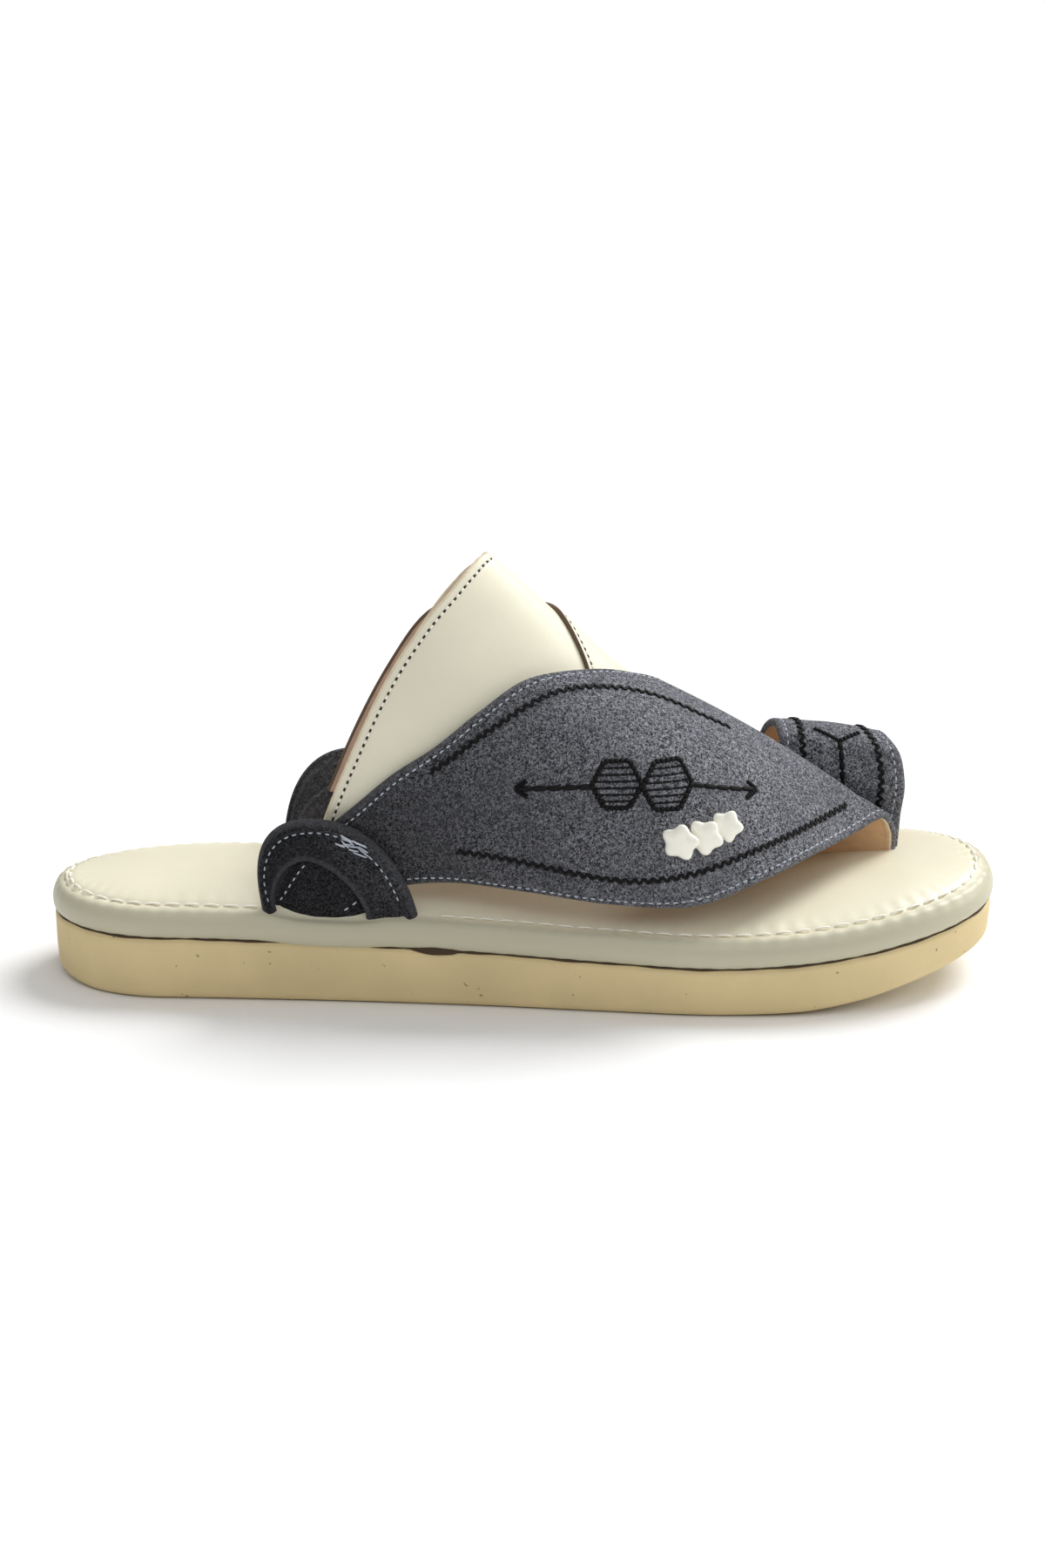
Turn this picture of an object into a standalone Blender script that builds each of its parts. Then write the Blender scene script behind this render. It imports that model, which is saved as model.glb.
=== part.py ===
"""Arabic sandal for the right foot, worked out from named sizes in millimetres.

+X runs to the toe, +Y to the inner side of the foot, +Z up, and the ground is Z 0.
"""
from collections import namedtuple
import math

import bpy
import numpy as np

MM = 0.001

# Overall sizes
LENGTH = 283.0
GAP = 0.3
STRAP_THICKNESS = 1.6
SUEDE_THICKNESS = 2.4
EAR_THICKNESS = 2.6

# Outline ends: how far back from heel and toe the sides start to round in, and how squarely
HEEL_ROUND = {"lateral": 36.0, "medial": 52.0}
TOE_ROUND = {"lateral": 74.0, "medial": 52.0}
HEEL_POWER = 2.1
TOE_POWER = 2.25
OUTLINE_STATIONS = 44

# Half widths of the outline, height of the underside, height of the seam under the footbed,
# and how far the padding swells above its edge, by share of length from the heel
Station = namedtuple("Station", "share lateral medial ground seam swell")
STATIONS = (
    Station(share=0.00, lateral=32.0, medial=32.0, ground=1.5, seam=19.2, swell=2.0),
    Station(share=0.06, lateral=32.4, medial=32.2, ground=0.0, seam=19.1, swell=2.9),
    Station(share=0.15, lateral=33.2, medial=32.5, ground=0.0, seam=19.0, swell=3.8),
    Station(share=0.30, lateral=35.6, medial=32.9, ground=0.0, seam=18.1, swell=4.0),
    Station(share=0.45, lateral=39.3, medial=34.2, ground=0.0, seam=17.0, swell=3.6),
    Station(share=0.58, lateral=44.0, medial=40.5, ground=0.0, seam=15.6, swell=3.2),
    Station(share=0.70, lateral=47.5, medial=47.8, ground=0.0, seam=14.7, swell=3.0),
    Station(share=0.78, lateral=47.7, medial=49.0, ground=0.7, seam=15.8, swell=4.5),
    Station(share=0.85, lateral=47.5, medial=49.0, ground=3.4, seam=17.8, swell=5.2),
    Station(share=0.90, lateral=47.2, medial=48.6, ground=6.7, seam=19.9, swell=4.9),
    Station(share=0.95, lateral=46.7, medial=48.0, ground=10.0, seam=22.0, swell=4.0),
    Station(share=1.00, lateral=46.0, medial=47.0, ground=13.0, seam=24.3, swell=2.0),
)

# Rings of the sole's wall: inset from the outline, share of the way from underside to seam, extra rise
SoleRing = namedtuple("SoleRing", "inset share rise")
SOLE_RINGS = (
    SoleRing(inset=4.2, share=0.0, rise=0.0),
    SoleRing(inset=2.0, share=0.0, rise=0.6),
    SoleRing(inset=1.2, share=0.0, rise=2.0),
    SoleRing(inset=0.9, share=0.0, rise=5.5),
    SoleRing(inset=0.6, share=1.0, rise=-1.2),
    SoleRing(inset=1.4, share=1.0, rise=0.0),
)

# Rings of the footbed's wrapped edge: inset from the outline and rise above the seam
FootbedRing = namedtuple("FootbedRing", "inset rise")
FOOTBED_RINGS = (
    FootbedRing(inset=1.6, rise=GAP),
    FootbedRing(inset=0.4, rise=1.3),
    FootbedRing(inset=0.0, rise=3.6),
    FootbedRing(inset=0.5, rise=6.0),
    FootbedRing(inset=1.9, rise=8.0),
    FootbedRing(inset=3.9, rise=8.9),
)
ACROSS_FOOTBED = (-1.0, -0.9, -0.72, -0.4, 0.0, 0.4, 0.72, 0.9, 1.0)
SWELL_POWER = 4.0

# Arch over the instep: base and ridge by station; each side is a quarter of a superellipse
Form = namedtuple("Form", "x lateral ridge medial")
INSTEP = (
    Form(x=-66.0, lateral=-24.8, ridge=175.0, medial=22.6),
    Form(x=-55.0, lateral=-25.7, ridge=166.0, medial=23.2),
    Form(x=-35.0, lateral=-30.5, ridge=148.0, medial=26.6),
    Form(x=-11.0, lateral=-35.5, ridge=125.6, medial=32.0),
    Form(x=6.4, lateral=-38.5, ridge=110.0, medial=34.5),
    Form(x=20.7, lateral=-40.5, ridge=96.2, medial=36.5),
    Form(x=35.0, lateral=-42.0, ridge=84.6, medial=38.0),
    Form(x=52.0, lateral=-43.0, ridge=73.0, medial=40.0),
)
RIDGE_Y = 4.0
INSTEP_FLOOR = 25.0
INSTEP_POWER = 1.5
PROBE = 0.01

# Cream straps on the arch: share around it (-1 outer base, 0 ridge, 1 inner base), their rear and
# front edges along the foot, and the height of their underside above the arch
Strap = namedtuple("Strap", "around rear front lift")
LATERAL_STRAP = (
    Strap(around=-0.86, rear=-60.5, front=-50.0, lift=-1.6),
    Strap(around=-0.80, rear=-57.0, front=-45.0, lift=-1.1),
    Strap(around=-0.70, rear=-49.5, front=-28.0, lift=-0.3),
    Strap(around=-0.56, rear=-39.0, front=-7.0, lift=0.0),
    Strap(around=-0.44, rear=-29.7, front=8.0, lift=0.0),
    Strap(around=-0.30, rear=-20.3, front=24.0, lift=0.0),
    Strap(around=-0.15, rear=-14.0, front=33.0, lift=0.0),
    Strap(around=0.00, rear=-11.0, front=36.0, lift=0.0),
    Strap(around=0.15, rear=-12.5, front=26.0, lift=0.0),
    Strap(around=0.30, rear=-18.2, front=12.0, lift=0.0),
    Strap(around=0.45, rear=-26.8, front=-6.0, lift=0.0),
    Strap(around=0.60, rear=-37.4, front=-25.0, lift=0.0),
)
MEDIAL_STRAP = (
    Strap(around=-0.38, rear=24.5, front=31.0, lift=1.2),
    Strap(around=-0.30, rear=20.5, front=33.5, lift=1.2),
    Strap(around=-0.20, rear=17.6, front=37.0, lift=1.2),
    Strap(around=-0.10, rear=13.6, front=40.0, lift=1.2),
    Strap(around=0.00, rear=9.5, front=41.0, lift=1.2),
    Strap(around=0.15, rear=4.5, front=35.0, lift=1.2),
    Strap(around=0.30, rear=-7.0, front=24.0, lift=1.2),
    Strap(around=0.45, rear=-26.6, front=10.0, lift=1.2),
    Strap(around=0.60, rear=-39.6, front=-8.0, lift=0.9),
    Strap(around=0.75, rear=-52.2, front=-31.0, lift=-0.4),
    Strap(around=0.84, rear=-59.0, front=-45.0, lift=-1.4),
)
STRAP_ROWS = 34
STRAP_COLUMNS = 8

# Suede straps run from the toe post to the ear through ribs; a rib goes from the strap's lower
# or front edge to its upper or rear edge and bulges outward between them
Rib = namedtuple("Rib", "low_x low_y low_z high_x high_y high_z bulge")
# A rib whose upper edge lies on the arch: share around it and height of the outer face above it
ArchRib = namedtuple("ArchRib", "low_x low_y low_z edge_x around layer bulge")
LATERAL_WING = (
    Rib(low_x=113.3, low_y=10.4, low_z=29.0, high_x=72.0, high_y=17.0, high_z=24.0, bulge=0.0),
    Rib(low_x=113.4, low_y=10.3, low_z=36.0, high_x=69.0, high_y=16.0, high_z=36.0, bulge=0.0),
    Rib(low_x=112.7, low_y=8.4, low_z=41.5, high_x=57.0, high_y=11.0, high_z=60.0, bulge=0.6),
    ArchRib(low_x=109.4, low_y=3.6, low_z=45.6, edge_x=39.5, around=0.03, layer=5.8, bulge=2.2),
    ArchRib(low_x=100.0, low_y=-6.0, low_z=43.4, edge_x=26.5, around=-0.140, layer=5.8, bulge=6.0),
    ArchRib(low_x=87.5, low_y=-21.0, low_z=42.0, edge_x=12.7, around=-0.290, layer=5.8, bulge=9.5),
    ArchRib(low_x=72.1, low_y=-34.5, low_z=38.8, edge_x=0.0, around=-0.400, layer=4.8, bulge=10.5),
    ArchRib(low_x=50.5, low_y=-42.0, low_z=32.6, edge_x=-12.6, around=-0.522, layer=4.4, bulge=8.5),
    ArchRib(low_x=25.3, low_y=-42.0, low_z=33.1, edge_x=-25.3, around=-0.628, layer=4.4, bulge=6.0),
    ArchRib(low_x=0.0, low_y=-38.0, low_z=35.7, edge_x=-38.0, around=-0.706, layer=4.4, bulge=2.6),
    ArchRib(low_x=-22.9, low_y=-31.2, low_z=36.0, edge_x=-48.2, around=-0.771, layer=4.2, bulge=0.4),
    ArchRib(low_x=-34.0, low_y=-29.4, low_z=34.5, edge_x=-55.0, around=-0.807, layer=4.1, bulge=0.0),
    Rib(low_x=-38.5, low_y=-29.2, low_z=30.5, high_x=-68.5, high_y=-27.4, high_z=42.5, bulge=0.0),
    Rib(low_x=-40.5, low_y=-29.1, low_z=26.5, high_x=-73.6, high_y=-27.2, high_z=32.0, bulge=0.0),
    Rib(low_x=-41.0, low_y=-29.1, low_z=22.8, high_x=-74.2, high_y=-27.2, high_z=23.2, bulge=0.0),
)
MEDIAL_WING = (
    Rib(low_x=77.0, low_y=15.9, low_z=24.4, high_x=52.0, high_y=19.0, high_z=22.6, bulge=0.0),
    Rib(low_x=76.0, low_y=15.8, low_z=36.0, high_x=49.0, high_y=17.5, high_z=40.0, bulge=0.0),
    Rib(low_x=73.5, low_y=17.4, low_z=48.0, high_x=42.0, high_y=16.5, high_z=58.0, bulge=0.6),
    ArchRib(low_x=71.5, low_y=24.0, low_z=55.0, edge_x=31.0, around=0.26, layer=6.0, bulge=2.0),
    ArchRib(low_x=70.0, low_y=31.5, low_z=52.0, edge_x=22.0, around=0.33, layer=6.0, bulge=4.5),
    ArchRib(low_x=66.0, low_y=38.0, low_z=45.5, edge_x=12.0, around=0.41, layer=6.0, bulge=7.0),
    ArchRib(low_x=58.0, low_y=41.5, low_z=38.5, edge_x=2.0, around=0.48, layer=6.0, bulge=8.0),
    ArchRib(low_x=42.0, low_y=41.0, low_z=34.0, edge_x=-10.0, around=0.56, layer=5.6, bulge=7.0),
    ArchRib(low_x=20.0, low_y=37.5, low_z=34.5, edge_x=-22.3, around=0.64, layer=5.2, bulge=5.0),
    ArchRib(low_x=-3.0, low_y=33.0, low_z=36.0, edge_x=-35.0, around=0.709, layer=4.8, bulge=3.0),
    ArchRib(low_x=-20.0, low_y=28.8, low_z=36.2, edge_x=-45.2, around=0.771, layer=4.3, bulge=0.4),
    ArchRib(low_x=-31.5, low_y=26.9, low_z=34.5, edge_x=-52.0, around=0.807, layer=4.0, bulge=0.0),
    Rib(low_x=-36.0, low_y=26.8, low_z=30.5, high_x=-66.1, high_y=26.0, high_z=42.5, bulge=0.0),
    Rib(low_x=-38.0, low_y=26.8, low_z=26.5, high_x=-71.2, high_y=26.0, high_z=32.0, bulge=0.0),
    Rib(low_x=-38.5, low_y=26.8, low_z=22.8, high_x=-71.8, high_y=26.0, high_z=23.2, bulge=0.0),
)
TOE_RING = (
    Rib(low_x=113.5, low_y=9.9, low_z=29.0, high_x=79.0, high_y=15.4, high_z=24.8, bulge=0.0),
    Rib(low_x=114.5, low_y=10.6, low_z=42.0, high_x=78.5, high_y=15.6, high_z=42.0, bulge=0.3),
    Rib(low_x=115.5, low_y=10.0, low_z=54.5, high_x=78.0, high_y=13.8, high_z=58.5, bulge=0.5),
    Rib(low_x=114.2, low_y=13.4, low_z=62.5, high_x=77.5, high_y=16.0, high_z=66.8, bulge=0.8),
    Rib(low_x=111.0, low_y=21.5, low_z=65.5, high_x=76.5, high_y=23.5, high_z=69.4, bulge=1.0),
    Rib(low_x=109.5, low_y=31.0, low_z=63.0, high_x=74.5, high_y=33.0, high_z=66.5, bulge=1.0),
    Rib(low_x=109.5, low_y=37.0, low_z=54.0, high_x=72.5, high_y=40.0, high_z=58.0, bulge=0.8),
    Rib(low_x=111.0, low_y=38.0, low_z=42.0, high_x=72.0, high_y=41.5, high_z=43.0, bulge=0.4),
    Rib(low_x=111.5, low_y=37.0, low_z=28.8, high_x=73.0, high_y=41.0, high_z=24.6, bulge=0.0),
)
WING_ROWS = 48
ROW_EASE = 1.4
WING_COLUMNS = 10
RING_ROWS = 26
RING_COLUMNS = 6
RING_EASE = 1.0

# Ears: outer face of the rear and front foot on the footbed, height, lean to the heel by height,
# and the loop's opening
Ear = namedtuple("Ear", "rear_x rear_y front_x front_y height lean")
LATERAL_EAR = Ear(rear_x=-75.4, rear_y=-30.6, front_x=-31.9, front_y=-33.6, height=27.6, lean=0.27)
MEDIAL_EAR = Ear(rear_x=-73.0, rear_y=29.8, front_x=-29.5, front_y=31.3, height=31.0, lean=0.0)
EAR_ROWS = 26
EAR_POWER = 2.3
EAR_ROOT = 22.8
EAR_BASE = 27.0
OPENING_SHARE = 0.38
OPENING_HALF = 14.2
OPENING_HEIGHT = 17.0
OPENING_POWER = 1.8
EAR_ROUNDING = 0.7

# Star beads on the outer wing, by share along the wing from the post and share up from its lower edge;
# each leans over its neighbour in front
Bead = namedtuple("Bead", "name along across radius turn")
BEADS = (
    Bead(name="bead_rear", along=0.6157, across=0.2605, radius=4.9, turn=0.3),
    Bead(name="bead_middle", along=0.5960, across=0.2353, radius=4.8, turn=0.7),
    Bead(name="bead_front", along=0.5739, across=0.2269, radius=4.2, turn=0.5),
)
BEAD_POINTS = 5
BEAD_LOBE = 0.17
BEAD_SIDES = 30
BEAD_THICKNESS = 3.4
BEAD_LEAN = math.radians(33.0)
BEAD_CLEARANCE = 0.5
BeadRing = namedtuple("BeadRing", "reach height")
BEAD_RINGS = (
    BeadRing(reach=0.55, height=0.00),
    BeadRing(reach=0.90, height=0.18),
    BeadRing(reach=1.00, height=0.50),
    BeadRing(reach=0.90, height=0.80),
    BeadRing(reach=0.55, height=0.97),
)

# Slots in the footbed: two ends of the middle line, height there and half width
Slot = namedtuple("Slot", "name rear_x rear_y rear_z front_x front_y front_z half")
SLOTS = (
    Slot(name="post_slot", rear_x=51.0, rear_y=20.2, rear_z=21.0,
         front_x=114.2, front_y=10.1, front_z=28.5, half=3.1),
    Slot(name="ring_slot", rear_x=72.2, rear_y=39.8, rear_z=24.1,
         front_x=112.3, front_y=35.8, front_z=28.3, half=1.7),
    Slot(name="lateral_ear_slot", rear_x=-76.0, rear_y=-27.5, rear_z=22.3,
         front_x=-31.3, front_y=-30.3, front_z=22.3, half=3.6),
    Slot(name="medial_ear_slot", rear_x=-73.6, rear_y=26.7, rear_z=22.3,
         front_x=-28.9, front_y=28.1, front_z=22.3, half=3.6),
)
SLOT_TOP = 20.0

# Colours are linear values
Finish = namedtuple("Finish", "name colour roughness")
FOAM = Finish("foam_beige", (0.66, 0.52, 0.29), 0.75)
CREAM = Finish("leather_cream", (0.80, 0.76, 0.62), 0.48)
SUEDE = Finish("suede_charcoal", (0.068, 0.072, 0.088), 0.92)
IVORY = Finish("bead_ivory", (0.86, 0.84, 0.72), 0.30)


def column(rows, name):
    """The named column of a table as an array."""
    return np.array([getattr(row, name) for row in rows])


def hermite(knots, values, slopes, at):
    """Cubic pieces through the values with the given slopes."""
    piece = np.clip(np.searchsorted(knots, at, side="right") - 1, 0, len(knots) - 2)
    step = knots[piece + 1] - knots[piece]
    t = (at - knots[piece]) / step
    if values.ndim > 1:
        t = t[:, None]
        step = step[:, None]
    start = (1 + 2 * t) * (1 - t) ** 2 * values[piece] + t * (1 - t) ** 2 * step * slopes[piece]
    end = t * t * (3 - 2 * t) * values[piece + 1] + t * t * (t - 1) * step * slopes[piece + 1]
    return start + end


def steady(knots, values, at):
    """Smooth curve through the values that never swings past them."""
    rise = np.diff(values) / np.diff(knots)
    slopes = np.zeros(len(values))
    same = rise[:-1] * rise[1:] > 0
    product = np.where(same, rise[:-1] * rise[1:], 0.0)
    total = np.where(same, rise[:-1] + rise[1:], 1.0)
    slopes[1:-1] = 2 * product / total
    slopes[0] = rise[0]
    slopes[-1] = rise[-1]
    return hermite(knots, values, slopes, np.asarray(at, float))


def flowing(knots, points, at):
    """Smooth path through the points, each slope taken across the neighbours."""
    return hermite(knots, points, np.gradient(points, knots, axis=0), at)


def station(name, x):
    """A column of the sole's table at the given places along the length."""
    share = np.clip(np.asarray(x, float) / LENGTH + 0.5, 0.0, 1.0)
    return steady(column(STATIONS, "share"), column(STATIONS, name), share)


def rounding(x, side):
    """Share of the half width that is left where heel and toe round in."""
    x = np.asarray(x, float)
    heel = np.clip((HEEL_ROUND[side] - LENGTH / 2 - x) / HEEL_ROUND[side], 0.0, 1.0)
    toe = np.clip((x + TOE_ROUND[side] - LENGTH / 2) / TOE_ROUND[side], 0.0, 1.0)
    heel_share = (1 - heel ** HEEL_POWER) ** (1 / HEEL_POWER)
    toe_share = (1 - toe ** TOE_POWER) ** (1 / TOE_POWER)
    return heel_share * toe_share


def outline():
    """The plan outline, counted round from the heel along the outer side; the ends are single points."""
    turn = np.linspace(0.0, math.pi, OUTLINE_STATIONS + 1)
    x = -LENGTH / 2 * np.cos(turn)
    lateral = np.stack([x, -station("lateral", x) * rounding(x, "lateral")], 1)
    medial = np.stack([x, station("medial", x) * rounding(x, "medial")], 1)
    return np.concatenate([lateral, medial[-2:0:-1]])


def inset_loop(loop, distance):
    """The outline moved inward along its normals."""
    along = np.roll(loop, -1, 0) - np.roll(loop, 1, 0)
    along /= np.linalg.norm(along, axis=1)[:, None]
    inward = np.stack([-along[:, 1], along[:, 0]], 1)
    return loop + inward * distance


def skin(first, second, count):
    """Faces between two rings of points that start at the given numbers."""
    faces = []
    for i in range(count):
        j = (i + 1) % count
        faces.append((first + i, first + j, second + j, second + i))
    return faces


def cap(first, count, upward):
    """Faces that close a ring by joining outer and inner points of the same station."""
    half = count // 2
    faces = [(first, first + 1, first + count - 1)]
    for i in range(1, half - 1):
        faces.append((first + i, first + i + 1, first + count - i - 1, first + count - i))
    faces.append((first + half - 1, first + half, first + half + 1))
    if upward:
        return faces
    return [face[::-1] for face in faces]


def material(finish):
    """A plain surface of the given finish, made once."""
    found = bpy.data.materials.get(finish.name)
    if found:
        return found
    made = bpy.data.materials.new(finish.name)
    made.use_nodes = True
    shader = made.node_tree.nodes["Principled BSDF"]
    shader.inputs["Base Color"].default_value = (*finish.colour, 1.0)
    shader.inputs["Roughness"].default_value = finish.roughness
    shader.inputs["Metallic"].default_value = 0.0
    return made


def solid(name, points, faces, finish):
    """A mesh object from points in millimetres."""
    mesh = bpy.data.meshes.new(name)
    mesh.from_pydata((np.asarray(points) * MM).tolist(), [], faces)
    mesh.materials.append(material(finish))
    mesh.shade_smooth()
    made = bpy.data.objects.new(name, mesh)
    bpy.context.scene.collection.objects.link(made)
    return made


def combine(target, tool, operation):
    """Join a helper solid to the target or cut it away, and keep the helper out of the part."""
    step = target.modifiers.new(tool.name, "BOOLEAN")
    step.operation = operation
    step.solver = "EXACT"
    step.object = tool
    tool.hide_render = True
    tool.display_type = "WIRE"


def build_sole():
    """Unit sole: rings from the underside up to the seam, capped below and above."""
    loop = outline()
    count = len(loop)
    points = []
    faces = cap(0, count, False)
    for number, ring in enumerate(SOLE_RINGS):
        plan = inset_loop(loop, ring.inset)
        low = station("ground", plan[:, 0])
        height = low + ring.share * (station("seam", plan[:, 0]) - low) + ring.rise
        points.append(np.column_stack([plan, height]))
        if number:
            faces += skin((number - 1) * count, number * count, count)
    faces += cap((len(SOLE_RINGS) - 1) * count, count, True)
    return solid("sole", np.concatenate(points), faces, FOAM)


def build_footbed():
    """Padded footbed: rings round the wrapped edge, then rows across the swelling top."""
    loop = outline()
    count = len(loop)
    half = count // 2
    points = []
    faces = cap(0, count, False)
    for number, ring in enumerate(FOOTBED_RINGS):
        plan = inset_loop(loop, ring.inset)
        points.append(np.column_stack([plan, station("seam", plan[:, 0]) + ring.rise]))
        if number:
            faces += skin((number - 1) * count, number * count, count)
    top = points[-1]
    first = (len(FOOTBED_RINGS) - 1) * count
    across = np.array(ACROSS_FOOTBED[1:-1])[:, None]
    rows = [[first] * (len(across) + 2)]
    total = len(FOOTBED_RINGS) * count
    for i in range(1, half):
        row = top[i] + (top[count - i] - top[i]) * (across + 1) / 2
        fade = (rounding(row[:, 0], "lateral") + rounding(row[:, 0], "medial")) / 2
        swell = station("swell", row[:, 0]) * fade
        row[:, 2] += swell * (1 - np.abs(across[:, 0]) ** SWELL_POWER)
        points.append(row)
        rows.append([first + i, *range(total, total + len(row)), first + count - i])
        total += len(row)
    rows.append([first + half] * (len(across) + 2))
    for back, front in zip(rows, rows[1:]):
        for j in range(len(back) - 1):
            corner = dict.fromkeys((back[j], front[j], front[j + 1], back[j + 1]))
            if len(corner) > 2:
                faces.append(tuple(corner))
    footbed = solid("footbed", np.concatenate(points), faces, CREAM)
    for slot in SLOTS:
        combine(footbed, build_slot(slot), "DIFFERENCE")
    return footbed


def build_slot(slot):
    """Cutter for a pocket: an upright slab whose floor runs between two heights."""
    rear = np.array([slot.rear_x, slot.rear_y])
    front = np.array([slot.front_x, slot.front_y])
    along = (front - rear) / np.linalg.norm(front - rear)
    aside = np.array([-along[1], along[0]]) * slot.half
    plan = np.array([rear - aside, front - aside, front + aside, rear + aside])
    floor = np.array([slot.rear_z, slot.front_z, slot.front_z, slot.rear_z])
    points = np.concatenate([np.column_stack([plan, floor]), np.column_stack([plan, floor + SLOT_TOP])])
    faces = [(3, 2, 1, 0), (4, 5, 6, 7)] + skin(0, 4, 4)
    return solid(slot.name, points, faces, CREAM)


def form(x, around):
    """Point of the instep arch at a place along the foot and a share around the arch."""
    knots = column(INSTEP, "x")
    ridge = steady(knots, column(INSTEP, "ridge"), x)
    lateral = steady(knots, column(INSTEP, "lateral"), x)
    medial = steady(knots, column(INSTEP, "medial"), x)
    base = np.where(around < 0, lateral, medial)
    angle = (1 - np.abs(around)) * math.pi / 2
    power = 2 / INSTEP_POWER
    y = RIDGE_Y + (base - RIDGE_Y) * np.clip(np.cos(angle), 0.0, 1.0) ** power
    z = INSTEP_FLOOR + (ridge - INSTEP_FLOOR) * np.sin(angle) ** power
    return np.stack([x, y, z], -1)


def above_form(x, around, height):
    """Point at a height square to the instep arch."""
    x = np.asarray(x, float)
    around = np.asarray(around, float)
    forward = form(x + PROBE, around) - form(x - PROBE, around)
    over = form(x, around + PROBE) - form(x, around - PROBE)
    outward = np.cross(forward, over)
    outward /= np.linalg.norm(outward, axis=-1)[..., None]
    return form(x, around) + outward * np.asarray(height)[..., None]


def sheet(name, outer, inner, finish):
    """Closed solid between two grids of points that share their rows and columns."""
    rows, columns = outer.shape[:2]
    count = rows * columns
    faces = []
    for i in range(rows - 1):
        for j in range(columns - 1):
            a = i * columns + j
            quad = (a, a + 1, a + columns + 1, a + columns)
            faces.append(quad)
            faces.append(tuple(count + corner for corner in quad[::-1]))
    rim = [j for j in range(columns)]
    rim += [i * columns + columns - 1 for i in range(1, rows)]
    rim += [(rows - 1) * columns + j for j in range(columns - 2, -1, -1)]
    rim += [i * columns for i in range(rows - 2, 0, -1)]
    for a, b in zip(rim, rim[1:] + rim[:1]):
        faces.append((b, a, count + a, count + b))
    points = np.concatenate([outer.reshape(-1, 3), inner.reshape(-1, 3)])
    return solid(name, points, faces, finish)


def build_strap(name, rows):
    """Cream strap on the instep arch between its rear and front edges."""
    knots = column(rows, "around")
    around = np.linspace(knots[0], knots[-1], STRAP_ROWS)
    rear = steady(knots, column(rows, "rear"), around)[:, None]
    front = steady(knots, column(rows, "front"), around)[:, None]
    lift = steady(knots, column(rows, "lift"), around)[:, None]
    across = np.linspace(0.0, 1.0, STRAP_COLUMNS)
    x = front + (rear - front) * across
    around = around[:, None] + 0 * x
    inner = above_form(x, around, lift + 0 * x)
    outer = above_form(x, around, lift + STRAP_THICKNESS + 0 * x)
    return sheet(name, outer, inner, CREAM)


def rib_ends(ribs):
    """Lower and upper edge of every rib as points."""
    low = np.array([(rib.low_x, rib.low_y, rib.low_z) for rib in ribs])
    high = []
    for rib in ribs:
        if isinstance(rib, ArchRib):
            high.append(above_form(rib.edge_x, rib.around, rib.layer))
        else:
            high.append((rib.high_x, rib.high_y, rib.high_z))
    return low, np.array(high)


def grid_normals(points):
    """Normals of a grid of points, square to its rows and columns."""
    across = np.gradient(points, axis=1)
    along = np.gradient(points, axis=0)
    normal = np.cross(across, along)
    return normal / np.linalg.norm(normal, axis=-1)[..., None]


def ribbon(ribs, rows, columns, side, ease):
    """Outer face and its normals for a suede strap through its ribs.

    Side says which way is out, and a larger ease packs the rows towards the toe post.
    """
    low, high = rib_ends(ribs)
    middle = (low + high) / 2
    knots = np.concatenate([[0.0], np.cumsum(np.linalg.norm(np.diff(middle, axis=0), axis=1))])
    at = knots[-1] * np.linspace(0.0, 1.0, rows) ** ease
    low = flowing(knots, low, at)[:, None]
    high = flowing(knots, high, at)[:, None]
    bulge = steady(knots, column(ribs, "bulge"), at)[:, None, None]
    across = np.linspace(0.0, 1.0, columns)[None, :, None]
    flat = low + (high - low) * across
    outer = flat + side * grid_normals(flat) * bulge * np.sin(math.pi * across)
    return outer, side * grid_normals(outer)


def grid_point(grid, along, across):
    """Value of a grid between its rows and columns, by share along and across."""
    row = along * (grid.shape[0] - 1)
    place = across * (grid.shape[1] - 1)
    i = int(row)
    j = int(place)
    near = grid[i, j] + (grid[i, j + 1] - grid[i, j]) * (place - j)
    far = grid[i + 1, j] + (grid[i + 1, j + 1] - grid[i + 1, j]) * (place - j)
    return near + (far - near) * (row - i)


def build_ribbon(name, ribs, rows, columns, side, ease):
    """Suede strap of even thickness through its ribs."""
    outer, normal = ribbon(ribs, rows, columns, side, ease)
    inner = outer - normal * SUEDE_THICKNESS
    if side < 0:
        outer = outer[:, ::-1]
        inner = inner[:, ::-1]
    return sheet(name, outer, inner, SUEDE)


def build_upper():
    """Both wings and the toe ring, joined at the toe post."""
    upper = build_ribbon("upper", LATERAL_WING, WING_ROWS, WING_COLUMNS, 1, ROW_EASE)
    inner_wing = build_ribbon("medial_wing", MEDIAL_WING, WING_ROWS, WING_COLUMNS, -1, ROW_EASE)
    combine(upper, inner_wing, "UNION")
    combine(upper, build_ribbon("toe_ring", TOE_RING, RING_ROWS, RING_COLUMNS, -1, RING_EASE), "UNION")
    return upper


def build_straps():
    """The two instep straps, joined where they cross."""
    straps = build_strap("instep_straps", LATERAL_STRAP)
    combine(straps, build_strap("medial_strap", MEDIAL_STRAP), "UNION")
    return straps


def ear_arch(middle, half, height, power, lean):
    """Half a superellipse from front foot to rear foot, leaning to the heel, with straight roots."""
    turn = np.linspace(0.0, math.pi, EAR_ROWS)
    reach = np.sign(np.cos(turn)) * np.abs(np.cos(turn)) ** (2 / power)
    rise = height * np.abs(np.sin(turn)) ** (2 / power)
    arch = np.stack([middle + half * reach - lean * rise, EAR_BASE + rise], 1)
    return np.concatenate([[[arch[0, 0], EAR_ROOT]], arch, [[arch[-1, 0], EAR_ROOT]]])


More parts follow.
